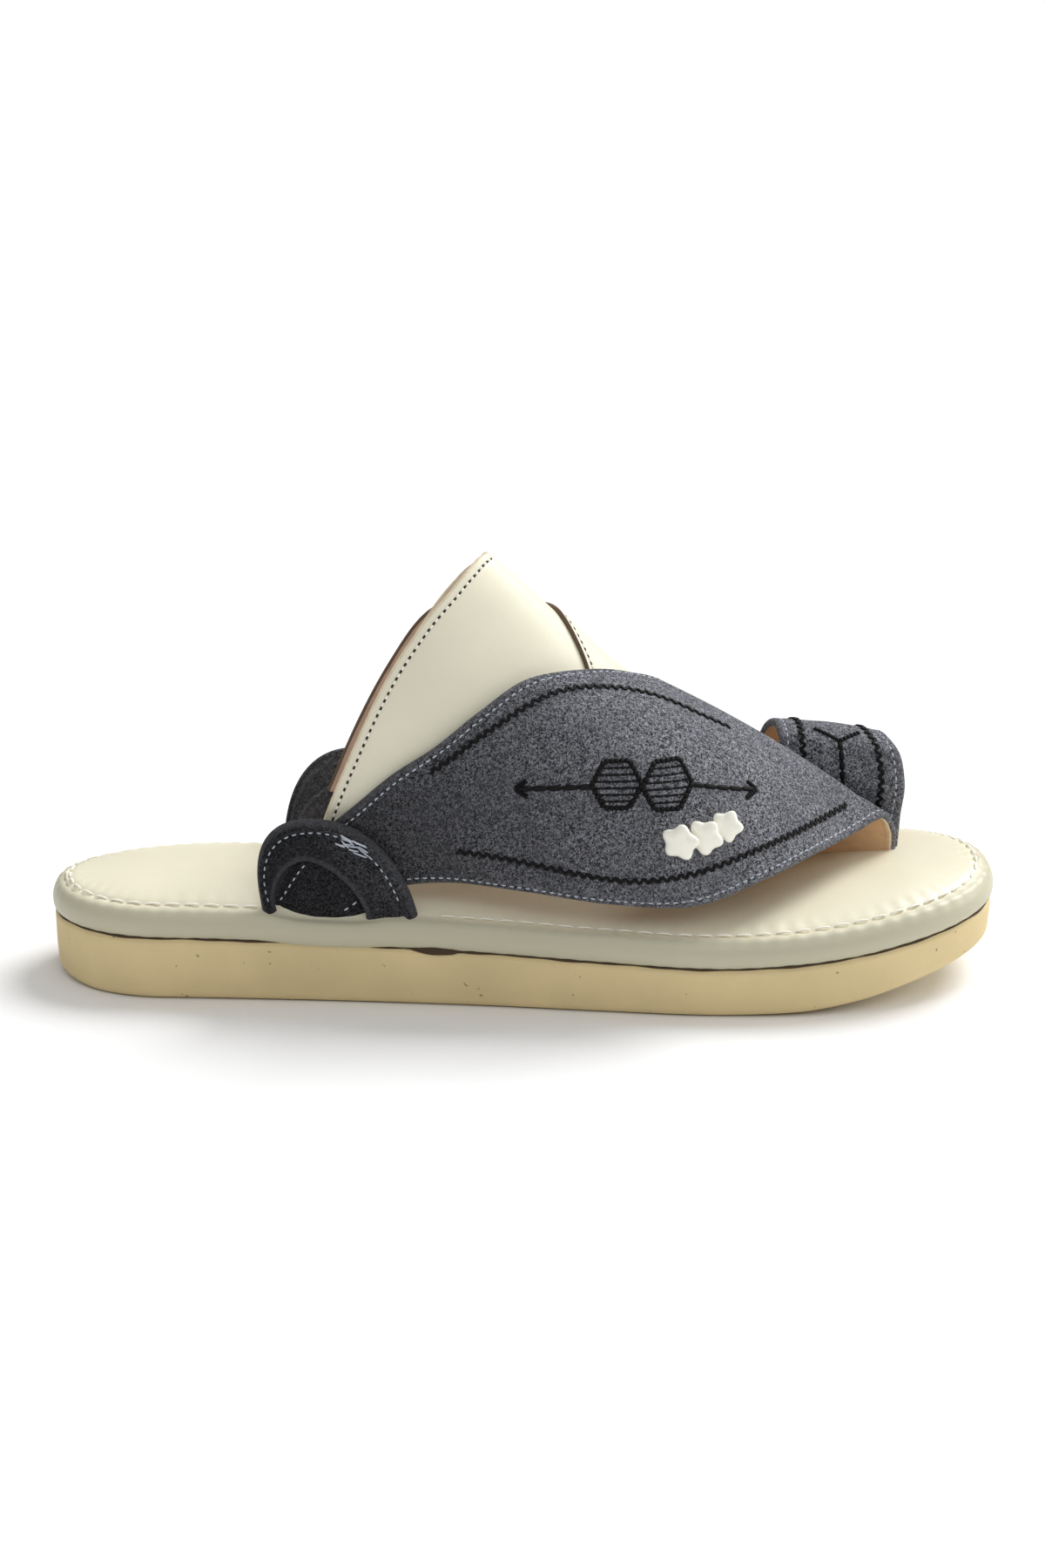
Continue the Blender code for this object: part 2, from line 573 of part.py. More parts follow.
def build_ear(name, ear, outward):
    """Half-round loop of folded suede; its feet stand in a slot and the wing's tail passes under it."""
    rear = np.array([ear.rear_x, ear.rear_y])
    front = np.array([ear.front_x, ear.front_y])
    width = np.linalg.norm(front - rear)
    along = (front - rear) / width
    inward = np.array([along[1], -along[0]]) * outward
    outer = ear_arch(width / 2, width / 2, ear.height, EAR_POWER, ear.lean)
    inner = ear_arch(width * OPENING_SHARE, OPENING_HALF, OPENING_HEIGHT, OPENING_POWER, ear.lean)
    across = outer - inner
    soft = across / np.linalg.norm(across, axis=1)[:, None] * EAR_ROUNDING
    depth = EAR_THICKNESS
    profile = (
        (inner, 0.0), (outer - soft, 0.0), (outer, EAR_ROUNDING),
        (outer, depth - EAR_ROUNDING), (outer - soft, depth), (inner, depth),
    )
    points = []
    for flat, back in profile:
        plan = rear + along * flat[:, :1] + inward * back
        points.append(np.column_stack([plan, flat[:, 1]]))
    points = np.stack(points, 1)
    rows, count = points.shape[:2]
    faces = [tuple(range(count)), tuple((rows - 1) * count + i for i in range(count - 1, -1, -1))]
    for i in range(rows - 1):
        faces += skin((i + 1) * count, i * count, count)
    if outward < 0:
        faces = [face[::-1] for face in faces]
    return solid(name, points.reshape(-1, 3), faces, SUEDE)


def build_bead(bead, wing, normals):
    """Plump star: rings of a lobed outline, leaning on the wing with its front edge raised."""
    spot = grid_point(wing, bead.along, bead.across)
    out = grid_point(normals, bead.along, bead.across)
    forward = grid_point(wing, bead.along - PROBE, bead.across) - spot
    forward -= out * np.dot(forward, out)
    forward /= np.linalg.norm(forward)
    upward = np.cross(out, forward)
    lengthwise = forward * math.cos(BEAD_LEAN) + out * math.sin(BEAD_LEAN)
    axis = out * math.cos(BEAD_LEAN) - forward * math.sin(BEAD_LEAN)
    turn = np.linspace(0.0, 2 * math.pi, BEAD_SIDES, endpoint=False)
    reach = bead.radius * (1 + BEAD_LOBE * np.cos(BEAD_POINTS * (turn + bead.turn)))
    star = np.cos(turn)[:, None] * lengthwise + np.sin(turn)[:, None] * upward
    drop = bead.radius * (1 + BEAD_LOBE) * math.sin(BEAD_LEAN)
    foot = spot + out * (BEAD_CLEARANCE + drop)
    points = []
    faces = [tuple(range(BEAD_SIDES - 1, -1, -1))]
    for number, ring in enumerate(BEAD_RINGS):
        points.append(foot + star * (reach * ring.reach)[:, None] + axis * BEAD_THICKNESS * ring.height)
        if number:
            faces += skin((number - 1) * BEAD_SIDES, number * BEAD_SIDES, BEAD_SIDES)
    last = (len(BEAD_RINGS) - 1) * BEAD_SIDES
    crown = len(BEAD_RINGS) * BEAD_SIDES
    points.append((foot + axis * BEAD_THICKNESS)[None])
    for i in range(BEAD_SIDES):
        faces.append((last + i, last + (i + 1) % BEAD_SIDES, crown))
    return solid(bead.name, np.concatenate(points), faces, IVORY)


def build():
    """All the pieces of the sandal in an empty scene."""
    for old in list(bpy.data.objects):
        bpy.data.objects.remove(old)
    build_sole()
    build_footbed()
    build_upper()
    build_straps()
    build_ear("ear_lateral", LATERAL_EAR, -1)
    build_ear("ear_medial", MEDIAL_EAR, 1)
    wing, normals = ribbon(LATERAL_WING, WING_ROWS, WING_COLUMNS, 1, ROW_EASE)
    for bead in BEADS:
        build_bead(bead, wing, normals)


build()
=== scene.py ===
"""Looks of an arabic sandal for the right foot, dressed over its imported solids.

+X runs to the toe, +Y to the inner side of the foot, +Z up. Sizes are in millimetres, and distances of
the camera, the lights and the floor in metres.
"""

from collections import namedtuple
import math

import bmesh
import bpy
from bpy.props import FloatProperty, FloatVectorProperty, PointerProperty
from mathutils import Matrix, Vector
import numpy as np


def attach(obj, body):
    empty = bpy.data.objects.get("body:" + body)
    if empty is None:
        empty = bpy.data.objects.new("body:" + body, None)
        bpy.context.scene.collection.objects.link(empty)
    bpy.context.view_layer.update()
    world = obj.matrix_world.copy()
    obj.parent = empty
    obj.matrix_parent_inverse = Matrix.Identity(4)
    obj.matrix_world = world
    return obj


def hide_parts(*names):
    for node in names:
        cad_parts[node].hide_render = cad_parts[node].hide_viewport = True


bl_info = {
    "name": "Arabic sandal",
    "version": (1, 0, 0),
    "blender": (4, 5, 0),
    "location": "3D View > Sidebar > Sandal",
    "description": "Dresses the sandal's packed solids in leather, suede, foam and thread",
    "category": "Object",
}

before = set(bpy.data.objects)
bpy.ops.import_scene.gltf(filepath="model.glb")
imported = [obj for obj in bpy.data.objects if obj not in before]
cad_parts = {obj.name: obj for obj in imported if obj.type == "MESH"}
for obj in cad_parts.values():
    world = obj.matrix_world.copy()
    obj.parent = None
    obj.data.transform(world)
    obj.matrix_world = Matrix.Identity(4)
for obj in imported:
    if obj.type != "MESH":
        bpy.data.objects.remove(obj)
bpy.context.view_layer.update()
MM = 0.001

# Overall sizes
LENGTH = 283.0
GAP = 0.3

# Outline ends: how far back from heel and toe the sides start to round in, and how squarely
HEEL_ROUND = {"lateral": 36.0, "medial": 52.0}
TOE_ROUND = {"lateral": 74.0, "medial": 52.0}
HEEL_POWER = 2.1
TOE_POWER = 2.25

# Half widths of the outline, height of the underside, height of the seam under the footbed,
# and how far the padding swells above its edge, by share of length from the heel
Station = namedtuple("Station", "share lateral medial ground seam swell")
STATIONS = (
    Station(share=0.00, lateral=32.0, medial=32.0, ground=1.5, seam=19.2, swell=2.0),
    Station(share=0.06, lateral=32.4, medial=32.2, ground=0.0, seam=19.1, swell=2.9),
    Station(share=0.15, lateral=33.2, medial=32.5, ground=0.0, seam=19.0, swell=3.8),
    Station(share=0.30, lateral=35.6, medial=32.9, ground=0.0, seam=18.1, swell=4.0),
    Station(share=0.45, lateral=39.3, medial=34.2, ground=0.0, seam=17.0, swell=3.6),
    Station(share=0.58, lateral=44.0, medial=40.5, ground=0.0, seam=15.6, swell=3.2),
    Station(share=0.70, lateral=47.5, medial=47.8, ground=0.0, seam=14.7, swell=3.0),
    Station(share=0.78, lateral=47.7, medial=49.0, ground=0.7, seam=15.8, swell=4.5),
    Station(share=0.85, lateral=47.5, medial=49.0, ground=3.4, seam=17.8, swell=5.2),
    Station(share=0.90, lateral=47.2, medial=48.6, ground=6.7, seam=19.9, swell=4.9),
    Station(share=0.95, lateral=46.7, medial=48.0, ground=10.0, seam=22.0, swell=4.0),
    Station(share=1.00, lateral=46.0, medial=47.0, ground=13.0, seam=24.3, swell=2.0),
)

# Rings of the sole's wall: inset from the outline, share of the way from underside to seam, extra rise
SoleRing = namedtuple("SoleRing", "inset share rise")
SOLE_RINGS = (
    SoleRing(inset=4.2, share=0.0, rise=0.0),
    SoleRing(inset=2.0, share=0.0, rise=0.6),
    SoleRing(inset=1.2, share=0.0, rise=2.0),
    SoleRing(inset=0.9, share=0.0, rise=5.5),
    SoleRing(inset=0.6, share=1.0, rise=-1.2),
    SoleRing(inset=1.4, share=1.0, rise=0.0),
)

# Rings of the footbed's wrapped edge: inset from the outline and rise above the seam
FootbedRing = namedtuple("FootbedRing", "inset rise")
FOOTBED_RINGS = (
    FootbedRing(inset=1.6, rise=GAP),
    FootbedRing(inset=0.4, rise=1.3),
    FootbedRing(inset=0.0, rise=3.6),
    FootbedRing(inset=0.5, rise=6.0),
    FootbedRing(inset=1.9, rise=8.0),
    FootbedRing(inset=3.9, rise=8.9),
)
SWELL_POWER = 4.0

# Arch over the instep: base and ridge by station; each side is a quarter of a superellipse
Form = namedtuple("Form", "x lateral ridge medial")
INSTEP = (
    Form(x=-66.0, lateral=-24.8, ridge=175.0, medial=22.6),
    Form(x=-55.0, lateral=-25.7, ridge=166.0, medial=23.2),
    Form(x=-35.0, lateral=-30.5, ridge=148.0, medial=26.6),
    Form(x=-11.0, lateral=-35.5, ridge=125.6, medial=32.0),
    Form(x=6.4, lateral=-38.5, ridge=110.0, medial=34.5),
    Form(x=20.7, lateral=-40.5, ridge=96.2, medial=36.5),
    Form(x=35.0, lateral=-42.0, ridge=84.6, medial=38.0),
    Form(x=52.0, lateral=-43.0, ridge=73.0, medial=40.0),
)
RIDGE_Y = 4.0
INSTEP_FLOOR = 25.0
INSTEP_POWER = 1.5
PROBE = 0.01

# Cream straps on the arch: share around it (-1 outer base, 0 ridge, 1 inner base), their rear and
# front edges along the foot, and the height of their underside above the arch
Strap = namedtuple("Strap", "around rear front lift")
LATERAL_STRAP = (
    Strap(around=-0.86, rear=-60.5, front=-50.0, lift=-1.6),
    Strap(around=-0.80, rear=-57.0, front=-45.0, lift=-1.1),
    Strap(around=-0.70, rear=-49.5, front=-28.0, lift=-0.3),
    Strap(around=-0.56, rear=-39.0, front=-7.0, lift=0.0),
    Strap(around=-0.44, rear=-29.7, front=8.0, lift=0.0),
    Strap(around=-0.30, rear=-20.3, front=24.0, lift=0.0),
    Strap(around=-0.15, rear=-14.0, front=33.0, lift=0.0),
    Strap(around=0.00, rear=-11.0, front=36.0, lift=0.0),
    Strap(around=0.15, rear=-12.5, front=26.0, lift=0.0),
    Strap(around=0.30, rear=-18.2, front=12.0, lift=0.0),
    Strap(around=0.45, rear=-26.8, front=-6.0, lift=0.0),
    Strap(around=0.60, rear=-37.4, front=-25.0, lift=0.0),
)
MEDIAL_STRAP = (
    Strap(around=-0.38, rear=24.5, front=31.0, lift=1.2),
    Strap(around=-0.30, rear=20.5, front=33.5, lift=1.2),
    Strap(around=-0.20, rear=17.6, front=37.0, lift=1.2),
    Strap(around=-0.10, rear=13.6, front=40.0, lift=1.2),
    Strap(around=0.00, rear=9.5, front=41.0, lift=1.2),
    Strap(around=0.15, rear=4.5, front=35.0, lift=1.2),
    Strap(around=0.30, rear=-7.0, front=24.0, lift=1.2),
    Strap(around=0.45, rear=-26.6, front=10.0, lift=1.2),
    Strap(around=0.60, rear=-39.6, front=-8.0, lift=0.9),
    Strap(around=0.75, rear=-52.2, front=-31.0, lift=-0.4),
    Strap(around=0.84, rear=-59.0, front=-45.0, lift=-1.4),
)
# Suede straps run from the toe post to the ear through ribs; a rib goes from the strap's lower
# or front edge to its upper or rear edge and bulges outward between them
Rib = namedtuple("Rib", "low_x low_y low_z high_x high_y high_z bulge")
# A rib whose upper edge lies on the arch: share around it and height of the outer face above it
ArchRib = namedtuple("ArchRib", "low_x low_y low_z edge_x around layer bulge")
LATERAL_WING = (
    Rib(low_x=113.3, low_y=10.4, low_z=29.0, high_x=72.0, high_y=17.0, high_z=24.0, bulge=0.0),
    Rib(low_x=113.4, low_y=10.3, low_z=36.0, high_x=69.0, high_y=16.0, high_z=36.0, bulge=0.0),
    Rib(low_x=112.7, low_y=8.4, low_z=41.5, high_x=57.0, high_y=11.0, high_z=60.0, bulge=0.6),
    ArchRib(low_x=109.4, low_y=3.6, low_z=45.6, edge_x=39.5, around=0.03, layer=5.8, bulge=2.2),
    ArchRib(low_x=100.0, low_y=-6.0, low_z=43.4, edge_x=26.5, around=-0.140, layer=5.8, bulge=6.0),
    ArchRib(low_x=87.5, low_y=-21.0, low_z=42.0, edge_x=12.7, around=-0.290, layer=5.8, bulge=9.5),
    ArchRib(low_x=72.1, low_y=-34.5, low_z=38.8, edge_x=0.0, around=-0.400, layer=4.8, bulge=10.5),
    ArchRib(low_x=50.5, low_y=-42.0, low_z=32.6, edge_x=-12.6, around=-0.522, layer=4.4, bulge=8.5),
    ArchRib(low_x=25.3, low_y=-42.0, low_z=33.1, edge_x=-25.3, around=-0.628, layer=4.4, bulge=6.0),
    ArchRib(low_x=0.0, low_y=-38.0, low_z=35.7, edge_x=-38.0, around=-0.706, layer=4.4, bulge=2.6),
    ArchRib(low_x=-22.9, low_y=-31.2, low_z=36.0, edge_x=-48.2, around=-0.771, layer=4.2, bulge=0.4),
    ArchRib(low_x=-34.0, low_y=-29.4, low_z=34.5, edge_x=-55.0, around=-0.807, layer=4.1, bulge=0.0),
    Rib(low_x=-38.5, low_y=-29.2, low_z=30.5, high_x=-68.5, high_y=-27.4, high_z=42.5, bulge=1.0),
    Rib(low_x=-40.5, low_y=-29.1, low_z=26.5, high_x=-73.6, high_y=-27.2, high_z=32.0, bulge=2.4),
    Rib(low_x=-41.0, low_y=-29.1, low_z=22.8, high_x=-74.2, high_y=-27.2, high_z=23.2, bulge=2.6),
)
MEDIAL_WING = (
    Rib(low_x=77.0, low_y=15.9, low_z=24.4, high_x=52.0, high_y=19.0, high_z=22.6, bulge=0.0),
    Rib(low_x=76.0, low_y=15.8, low_z=36.0, high_x=49.0, high_y=17.5, high_z=40.0, bulge=0.0),
    Rib(low_x=73.5, low_y=17.4, low_z=48.0, high_x=42.0, high_y=16.5, high_z=58.0, bulge=0.6),
    ArchRib(low_x=71.5, low_y=24.0, low_z=55.0, edge_x=31.0, around=0.26, layer=6.0, bulge=2.0),
    ArchRib(low_x=70.0, low_y=31.5, low_z=52.0, edge_x=22.0, around=0.33, layer=6.0, bulge=4.5),
    ArchRib(low_x=66.0, low_y=38.0, low_z=45.5, edge_x=12.0, around=0.41, layer=6.0, bulge=7.0),
    ArchRib(low_x=58.0, low_y=41.5, low_z=38.5, edge_x=2.0, around=0.48, layer=6.0, bulge=8.0),
    ArchRib(low_x=42.0, low_y=41.0, low_z=34.0, edge_x=-10.0, around=0.56, layer=5.6, bulge=7.0),
    ArchRib(low_x=20.0, low_y=37.5, low_z=34.5, edge_x=-22.3, around=0.64, layer=5.2, bulge=5.0),
    ArchRib(low_x=-3.0, low_y=33.0, low_z=36.0, edge_x=-35.0, around=0.709, layer=4.8, bulge=3.0),
    ArchRib(low_x=-20.0, low_y=28.8, low_z=36.2, edge_x=-45.2, around=0.771, layer=4.3, bulge=0.4),
    ArchRib(low_x=-31.5, low_y=26.9, low_z=34.5, edge_x=-52.0, around=0.807, layer=4.0, bulge=0.0),
    Rib(low_x=-36.0, low_y=26.8, low_z=30.5, high_x=-66.1, high_y=26.0, high_z=42.5, bulge=0.0),
    Rib(low_x=-38.0, low_y=26.8, low_z=26.5, high_x=-71.2, high_y=26.0, high_z=32.0, bulge=0.0),
    Rib(low_x=-38.5, low_y=26.8, low_z=22.8, high_x=-71.8, high_y=26.0, high_z=23.2, bulge=0.0),
)
TOE_RING = (
    Rib(low_x=113.5, low_y=9.9, low_z=29.0, high_x=79.0, high_y=15.4, high_z=24.8, bulge=0.0),
    Rib(low_x=114.5, low_y=10.6, low_z=42.0, high_x=78.5, high_y=15.6, high_z=42.0, bulge=0.3),
    Rib(low_x=115.5, low_y=10.0, low_z=54.5, high_x=78.0, high_y=13.8, high_z=58.5, bulge=0.5),
    Rib(low_x=114.2, low_y=13.4, low_z=62.5, high_x=77.5, high_y=16.0, high_z=66.8, bulge=0.8),
    Rib(low_x=111.0, low_y=21.5, low_z=65.5, high_x=76.5, high_y=23.5, high_z=69.4, bulge=1.0),
    Rib(low_x=109.5, low_y=31.0, low_z=63.0, high_x=74.5, high_y=33.0, high_z=66.5, bulge=1.0),
    Rib(low_x=109.5, low_y=37.0, low_z=54.0, high_x=72.5, high_y=40.0, high_z=58.0, bulge=0.8),
    Rib(low_x=111.0, low_y=38.0, low_z=42.0, high_x=72.0, high_y=41.5, high_z=43.0, bulge=0.4),
    Rib(low_x=111.5, low_y=37.0, low_z=28.8, high_x=73.0, high_y=41.0, high_z=24.6, bulge=0.0),
)

# Ears: outer face of the rear and front foot on the footbed, height, lean to the heel by height,
# and the loop's opening
Ear = namedtuple("Ear", "rear_x rear_y front_x front_y height lean")
LATERAL_EAR = Ear(rear_x=-75.4, rear_y=-30.6, front_x=-31.9, front_y=-33.6, height=27.6, lean=0.27)
MEDIAL_EAR = Ear(rear_x=-73.0, rear_y=29.8, front_x=-29.5, front_y=31.3, height=31.0, lean=0.0)
EAR_POWER = 2.3
EAR_ROOT = 22.8
EAR_BASE = 27.0
OPENING_SHARE = 0.38
OPENING_HALF = 14.2
OPENING_HEIGHT = 17.0
OPENING_POWER = 1.8

# Star beads on the outer wing, by share along the wing from the post and share up from its lower edge;
# each leans over its neighbour in front
Bead = namedtuple("Bead", "name along across radius turn")
BEADS = (
    Bead(name="bead_rear", along=0.6157, across=0.2605, radius=4.9, turn=0.3),
    Bead(name="bead_middle", along=0.5960, across=0.2353, radius=4.8, turn=0.7),
    Bead(name="bead_front", along=0.5739, across=0.2269, radius=4.2, turn=0.5),
)
# Shares along are raised to this power, as on the solid wing, whose rows lie closer at the post
BEAD_EASE = 1.4
BEAD_POINTS = 5
BEAD_LOBE = 0.17
BEAD_THICKNESS = 3.4
BEAD_LEAN = math.radians(33.0)
BEAD_CLEARANCE = 0.5
# The dressed star: its mean radius and the swing of its lobes by radius, and the power of its profile
STAR_GIRTH = 1.03
STAR_LOBE = 0.13
STAR_ROUND = 0.75
# Half the distance between the two sewing threads under each bead
SHANK_HALF = 0.9

# How finely the pieces are divided, and how closely columns are drawn to the edges
OUTLINE_STATIONS = 280
FOOTBED_RIM = 18
FOOTBED_COLUMNS = 65
SOLE_RIM = 22
GLUE_SIDES = 8
WING_ROWS = 230
WING_COLUMNS = 70
RING_ROWS = 110
RING_COLUMNS = 44
STRAP_ROWS = 150
STRAP_COLUMNS = 50
EAR_ROWS = 90
EAR_COLUMNS = 24
BEAD_SIDES = 70
BEAD_RINGS = 18
EDGE_BEND = 5
THREAD_SIDES = 6
EDGE_POINTS = 500
MARK_POINTS = 400
FOOTBED_PACKING = 0.88
STRAP_PACKING = 0.8
EAR_PACKING = 0.7
# Points nearer than this, in metres, are merged
MERGE = 1e-6

# Soft troughs and ridges: middle as shares along and across, reach of each in millimetres, lean and height
Crease = namedtuple("Crease", "along across reach width lean height")
LATERAL_CREASES = (
    Crease(along=0.62, across=0.55, reach=26.0, width=7.0, lean=0.5, height=-0.7),
    Crease(along=0.70, across=0.35, reach=18.0, width=5.0, lean=0.9, height=-0.5),
    Crease(along=0.44, across=0.70, reach=24.0, width=9.0, lean=-0.3, height=0.6),
    Crease(along=0.33, across=0.30, reach=20.0, width=6.0, lean=0.2, height=-0.5),
    Crease(along=0.24, across=0.14, reach=7.0, width=1.6, lean=1.0, height=-0.5),
    Crease(along=0.21, across=0.22, reach=8.0, width=1.8, lean=1.1, height=-0.6),
    Crease(along=0.18, across=0.12, reach=6.0, width=1.5, lean=0.8, height=-0.4),
    Crease(along=0.52, across=0.20, reach=22.0, width=8.0, lean=-0.4, height=0.5),
)
MEDIAL_CREASES = (
    Crease(along=0.60, across=0.50, reach=24.0, width=7.0, lean=-0.5, height=-0.7),
    Crease(along=0.70, across=0.40, reach=16.0, width=5.0, lean=-0.8, height=-0.5),
    Crease(along=0.42, across=0.60, reach=22.0, width=8.0, lean=0.4, height=0.5),
)
RING_CREASES = (
    Crease(along=0.34, across=0.40, reach=12.0, width=4.0, lean=0.2, height=-0.35),
    Crease(along=0.62, across=0.60, reach=12.0, width=4.0, lean=-0.3, height=-0.35),
)
LATERAL_STRAP_CREASES = (
    Crease(along=0.50, across=0.45, reach=28.0, width=8.0, lean=0.4, height=-0.45),
    Crease(along=0.36, across=0.70, reach=22.0, width=6.0, lean=-0.2, height=0.35),
)
MEDIAL_STRAP_CREASES = (
    Crease(along=0.30, across=0.55, reach=24.0, width=7.0, lean=0.3, height=-0.4),
    Crease(along=0.62, across=0.50, reach=24.0, width=7.0, lean=-0.3, height=-0.4),
)

# Rows of black zigzag on the outer wing, by share along from the post and share up from the lower edge
Mark = namedtuple("Mark", "along across")
UPPER_ZIGZAG = (
    Mark(along=0.688, across=0.921), Mark(along=0.615, across=0.932), Mark(along=0.545, across=0.929),
    Mark(along=0.478, across=0.921), Mark(along=0.410, across=0.908), Mark(along=0.373, across=0.875),
    Mark(along=0.350, across=0.829), Mark(along=0.333, across=0.762), Mark(along=0.318, across=0.653),
    Mark(along=0.300, across=0.575),
)
LOWER_ZIGZAG = (
    Mark(along=0.763, across=0.377), Mark(along=0.697, across=0.280), Mark(along=0.651, across=0.201),
    Mark(along=0.604, across=0.151), Mark(along=0.549, across=0.130), Mark(along=0.489, across=0.105),
    Mark(along=0.418, across=0.092), Mark(along=0.343, across=0.092), Mark(along=0.256, across=0.105),
)
# Zigzag: distance between its turns, half its width, height above the suede, inset on the ring, and
# how many marks of each row the inner wing takes
ZIGZAG_STEP = 1.35
ZIGZAG_SWING = 0.85
ZIGZAG_LIFT = 0.2
RING_MARK_INSET = 6.0
INNER_UPPER_MARKS = 8
INNER_LOWER_MARKS = 6

# Suede straps: ribs, creases, rows and columns, the side that is out, and the lined share of the length
SuedeStrap = namedtuple("SuedeStrap", "ribs creases rows columns side lined")
SUEDE_STRAPS = {
    "wing_lateral": SuedeStrap(ribs=LATERAL_WING, creases=LATERAL_CREASES, rows=WING_ROWS,
                               columns=WING_COLUMNS, side=1, lined=0.84),
    "wing_medial": SuedeStrap(ribs=MEDIAL_WING, creases=MEDIAL_CREASES, rows=WING_ROWS,
                              columns=WING_COLUMNS, side=-1, lined=0.84),
    "toe_ring": SuedeStrap(ribs=TOE_RING, creases=RING_CREASES, rows=RING_ROWS,
                           columns=RING_COLUMNS, side=-1, lined=1.0),
}
# Cream straps: rows of edges and creases
CreamStrap = namedtuple("CreamStrap", "rows creases")
CREAM_STRAPS = {
    "strap_lateral": CreamStrap(rows=LATERAL_STRAP, creases=LATERAL_STRAP_CREASES),
    "strap_medial": CreamStrap(rows=MEDIAL_STRAP, creases=MEDIAL_STRAP_CREASES),
}

# Threads: width, how far they bow outward, and the share of their width left at the ends
Yarn = namedtuple("Yarn", "width bow tip")
FOOTBED_YARN = Yarn(width=0.85, bow=0.3, tip=0.4)
SUEDE_YARN = Yarn(width=0.5, bow=0.2, tip=0.4)
EAR_YARN = Yarn(width=0.5, bow=0.22, tip=0.4)
ZIGZAG_YARN = Yarn(width=1.0, bow=0.1, tip=0.85)
FIGURE_YARN = Yarn(width=1.6, bow=0.2, tip=0.4)
HATCHING_YARN = Yarn(width=0.75, bow=0.15, tip=0.4)
LINING_YARN = Yarn(width=0.9, bow=0.0, tip=0.4)
STRAP_YARN = Yarn(width=0.7, bow=0.25, tip=0.4)
HOLE_SHADE_YARN = Yarn(width=0.75, bow=0.08, tip=0.4)
SHANK_YARN = Yarn(width=1.3, bow=0.0, tip=1.0)
# Shares along a thread where it has rings, how far each takes the taper, and its flatness
THREAD_STATIONS = (0.0, 0.1, 0.32, 0.68, 0.9, 1.0)
THREAD_TAPER = (1.0, 0.3, 0.0, 0.0, 0.3, 1.0)
THREAD_FLATNESS = 0.7

# Sewn lines: shares along an edge where they start and end, and the share of the pitch under thread
Seam = namedtuple("Seam", "start end fill")
WING_SEAM = Seam(start=0.04, end=0.88, fill=0.55)
RING_SEAM = Seam(start=0.04, end=0.96, fill=0.55)
RING_ZIGZAG = Seam(start=0.14, end=0.86, fill=1.0)
EAR_SEAM = Seam(start=0.05, end=0.95, fill=0.55)
STRAP_SEAM = Seam(start=0.02, end=0.98, fill=0.6)
LINING_SEAM = Seam(start=0.02, end=0.26, fill=1.25)
# Other pitches, insets, fills and heights of sewn lines, and the length of the painted shade at a needle hole
LINING_PITCH = 1.6
LINING_INSET = 0.7
FOOTBED_FILL = 0.78
FOOTBED_STITCH_RISE = 0.3
TAIL_FILL = 0.5
HOLE_SHADE_REACH = 1.3
EAR_STITCH_INSET = 2.9

# Soft ridges and troughs across an edge: height, middle and reach. The edge's and the rim's troughs
# count from the stitch line, the edge's roll from a share of its inset, and the rest from the edge
Bell = namedtuple("Bell", "height middle reach")
EDGE_TROUGH = Bell(height=-0.25, middle=0.0, reach=0.5)
EDGE_ROLL = Bell(height=0.06, middle=0.0, reach=0.8)
RIM_TROUGH = Bell(height=-0.6, middle=0.0, reach=1.0)
RIM_PUFF = Bell(height=0.25, middle=2.6, reach=1.7)
RIM_PUCKER = Bell(height=-0.2, middle=8.2, reach=2.4)
EAR_ROLL = Bell(height=1.0, middle=1.1, reach=1.2)
EAR_TROUGH = Bell(height=-0.6, middle=EAR_STITCH_INSET, reach=0.6)
EDGE_RUB = Bell(height=1.0, middle=0.0, reach=0.6)
# That share, how far the rim's relief changes along it, and the millimetres to a radian of its waves
ROLL_SHARE = 0.45
TROUGH_SWAY = 0.28
PUCKER_SWAY = 0.4
PUCKER_WAVES = (23.0, 9.7)
# Greyer leather round the footbed, partly handling grime and partly painted shade on its upright rim: where
# it ends and over what distance it fades
GRIME_AND_SHADE_END = 4.6
GRIME_AND_SHADE_FADE = 2.6

# Under the ears: their middle along the foot, the half length without stitches, the bells that calm
# the rim's relief and press it down, and the power that makes them flat on top
EARS_MIDDLE = -53.0
EAR_COVER = 24.0
EARS_CALM = Bell(height=0.8, middle=EARS_MIDDLE, reach=26.0)
EARS_PRESS = Bell(height=-2.0, middle=EARS_MIDDLE - 4.0, reach=15.0)
PRESS_ACROSS = Bell(height=1.0, middle=4.5, reach=4.5)
FLAT_POWER = 4

# Glue line: its place by the seam, its girth with waves along it, whose length is given to a radian,
# and the chipped stretch
Wave = namedtuple("Wave", "height length start")
GLUE_INSET = 1.25
GLUE_RISE = 0.1
GLUE_GIRTH = 0.30
GLUE_WAVES = (Wave(height=0.12, length=5.3, start=0.0), Wave(height=0.10, length=2.1, start=1.0))
CHIP = Bell(height=1.0, middle=-26.0, reach=6.5)
CHIP_POWER = 8
CHIP_GIRTH = 0.9
CHIP_WAVES = 2.0

# Frayed knot on the outer ear: strands and their height above it, and for each strand what is drawn
# for its place along, its place across, how far it runs back and how far aside
Draw = namedtuple("Draw", "least spread")
KNOT_SEED = 5
KNOT_STRANDS = 16
KNOT_LIFT = 0.3
KNOT_DRAWS = (
    Draw(least=0.30, spread=0.09), Draw(least=0.60, spread=0.32),
    Draw(least=0.02, spread=0.05), Draw(least=-0.08, spread=0.20),
)

# Stitches on the outer tail inside its ear, by X and Z in side view
TAIL_STITCHES = (
    ((-71.5, 29.3), (-69.7, 32.0), (-67.6, 35.5), (-65.5, 38.8), (-63.4, 41.2)),
    ((-52.9, 27.2), (-49.1, 29.6), (-45.9, 32.4)),
)

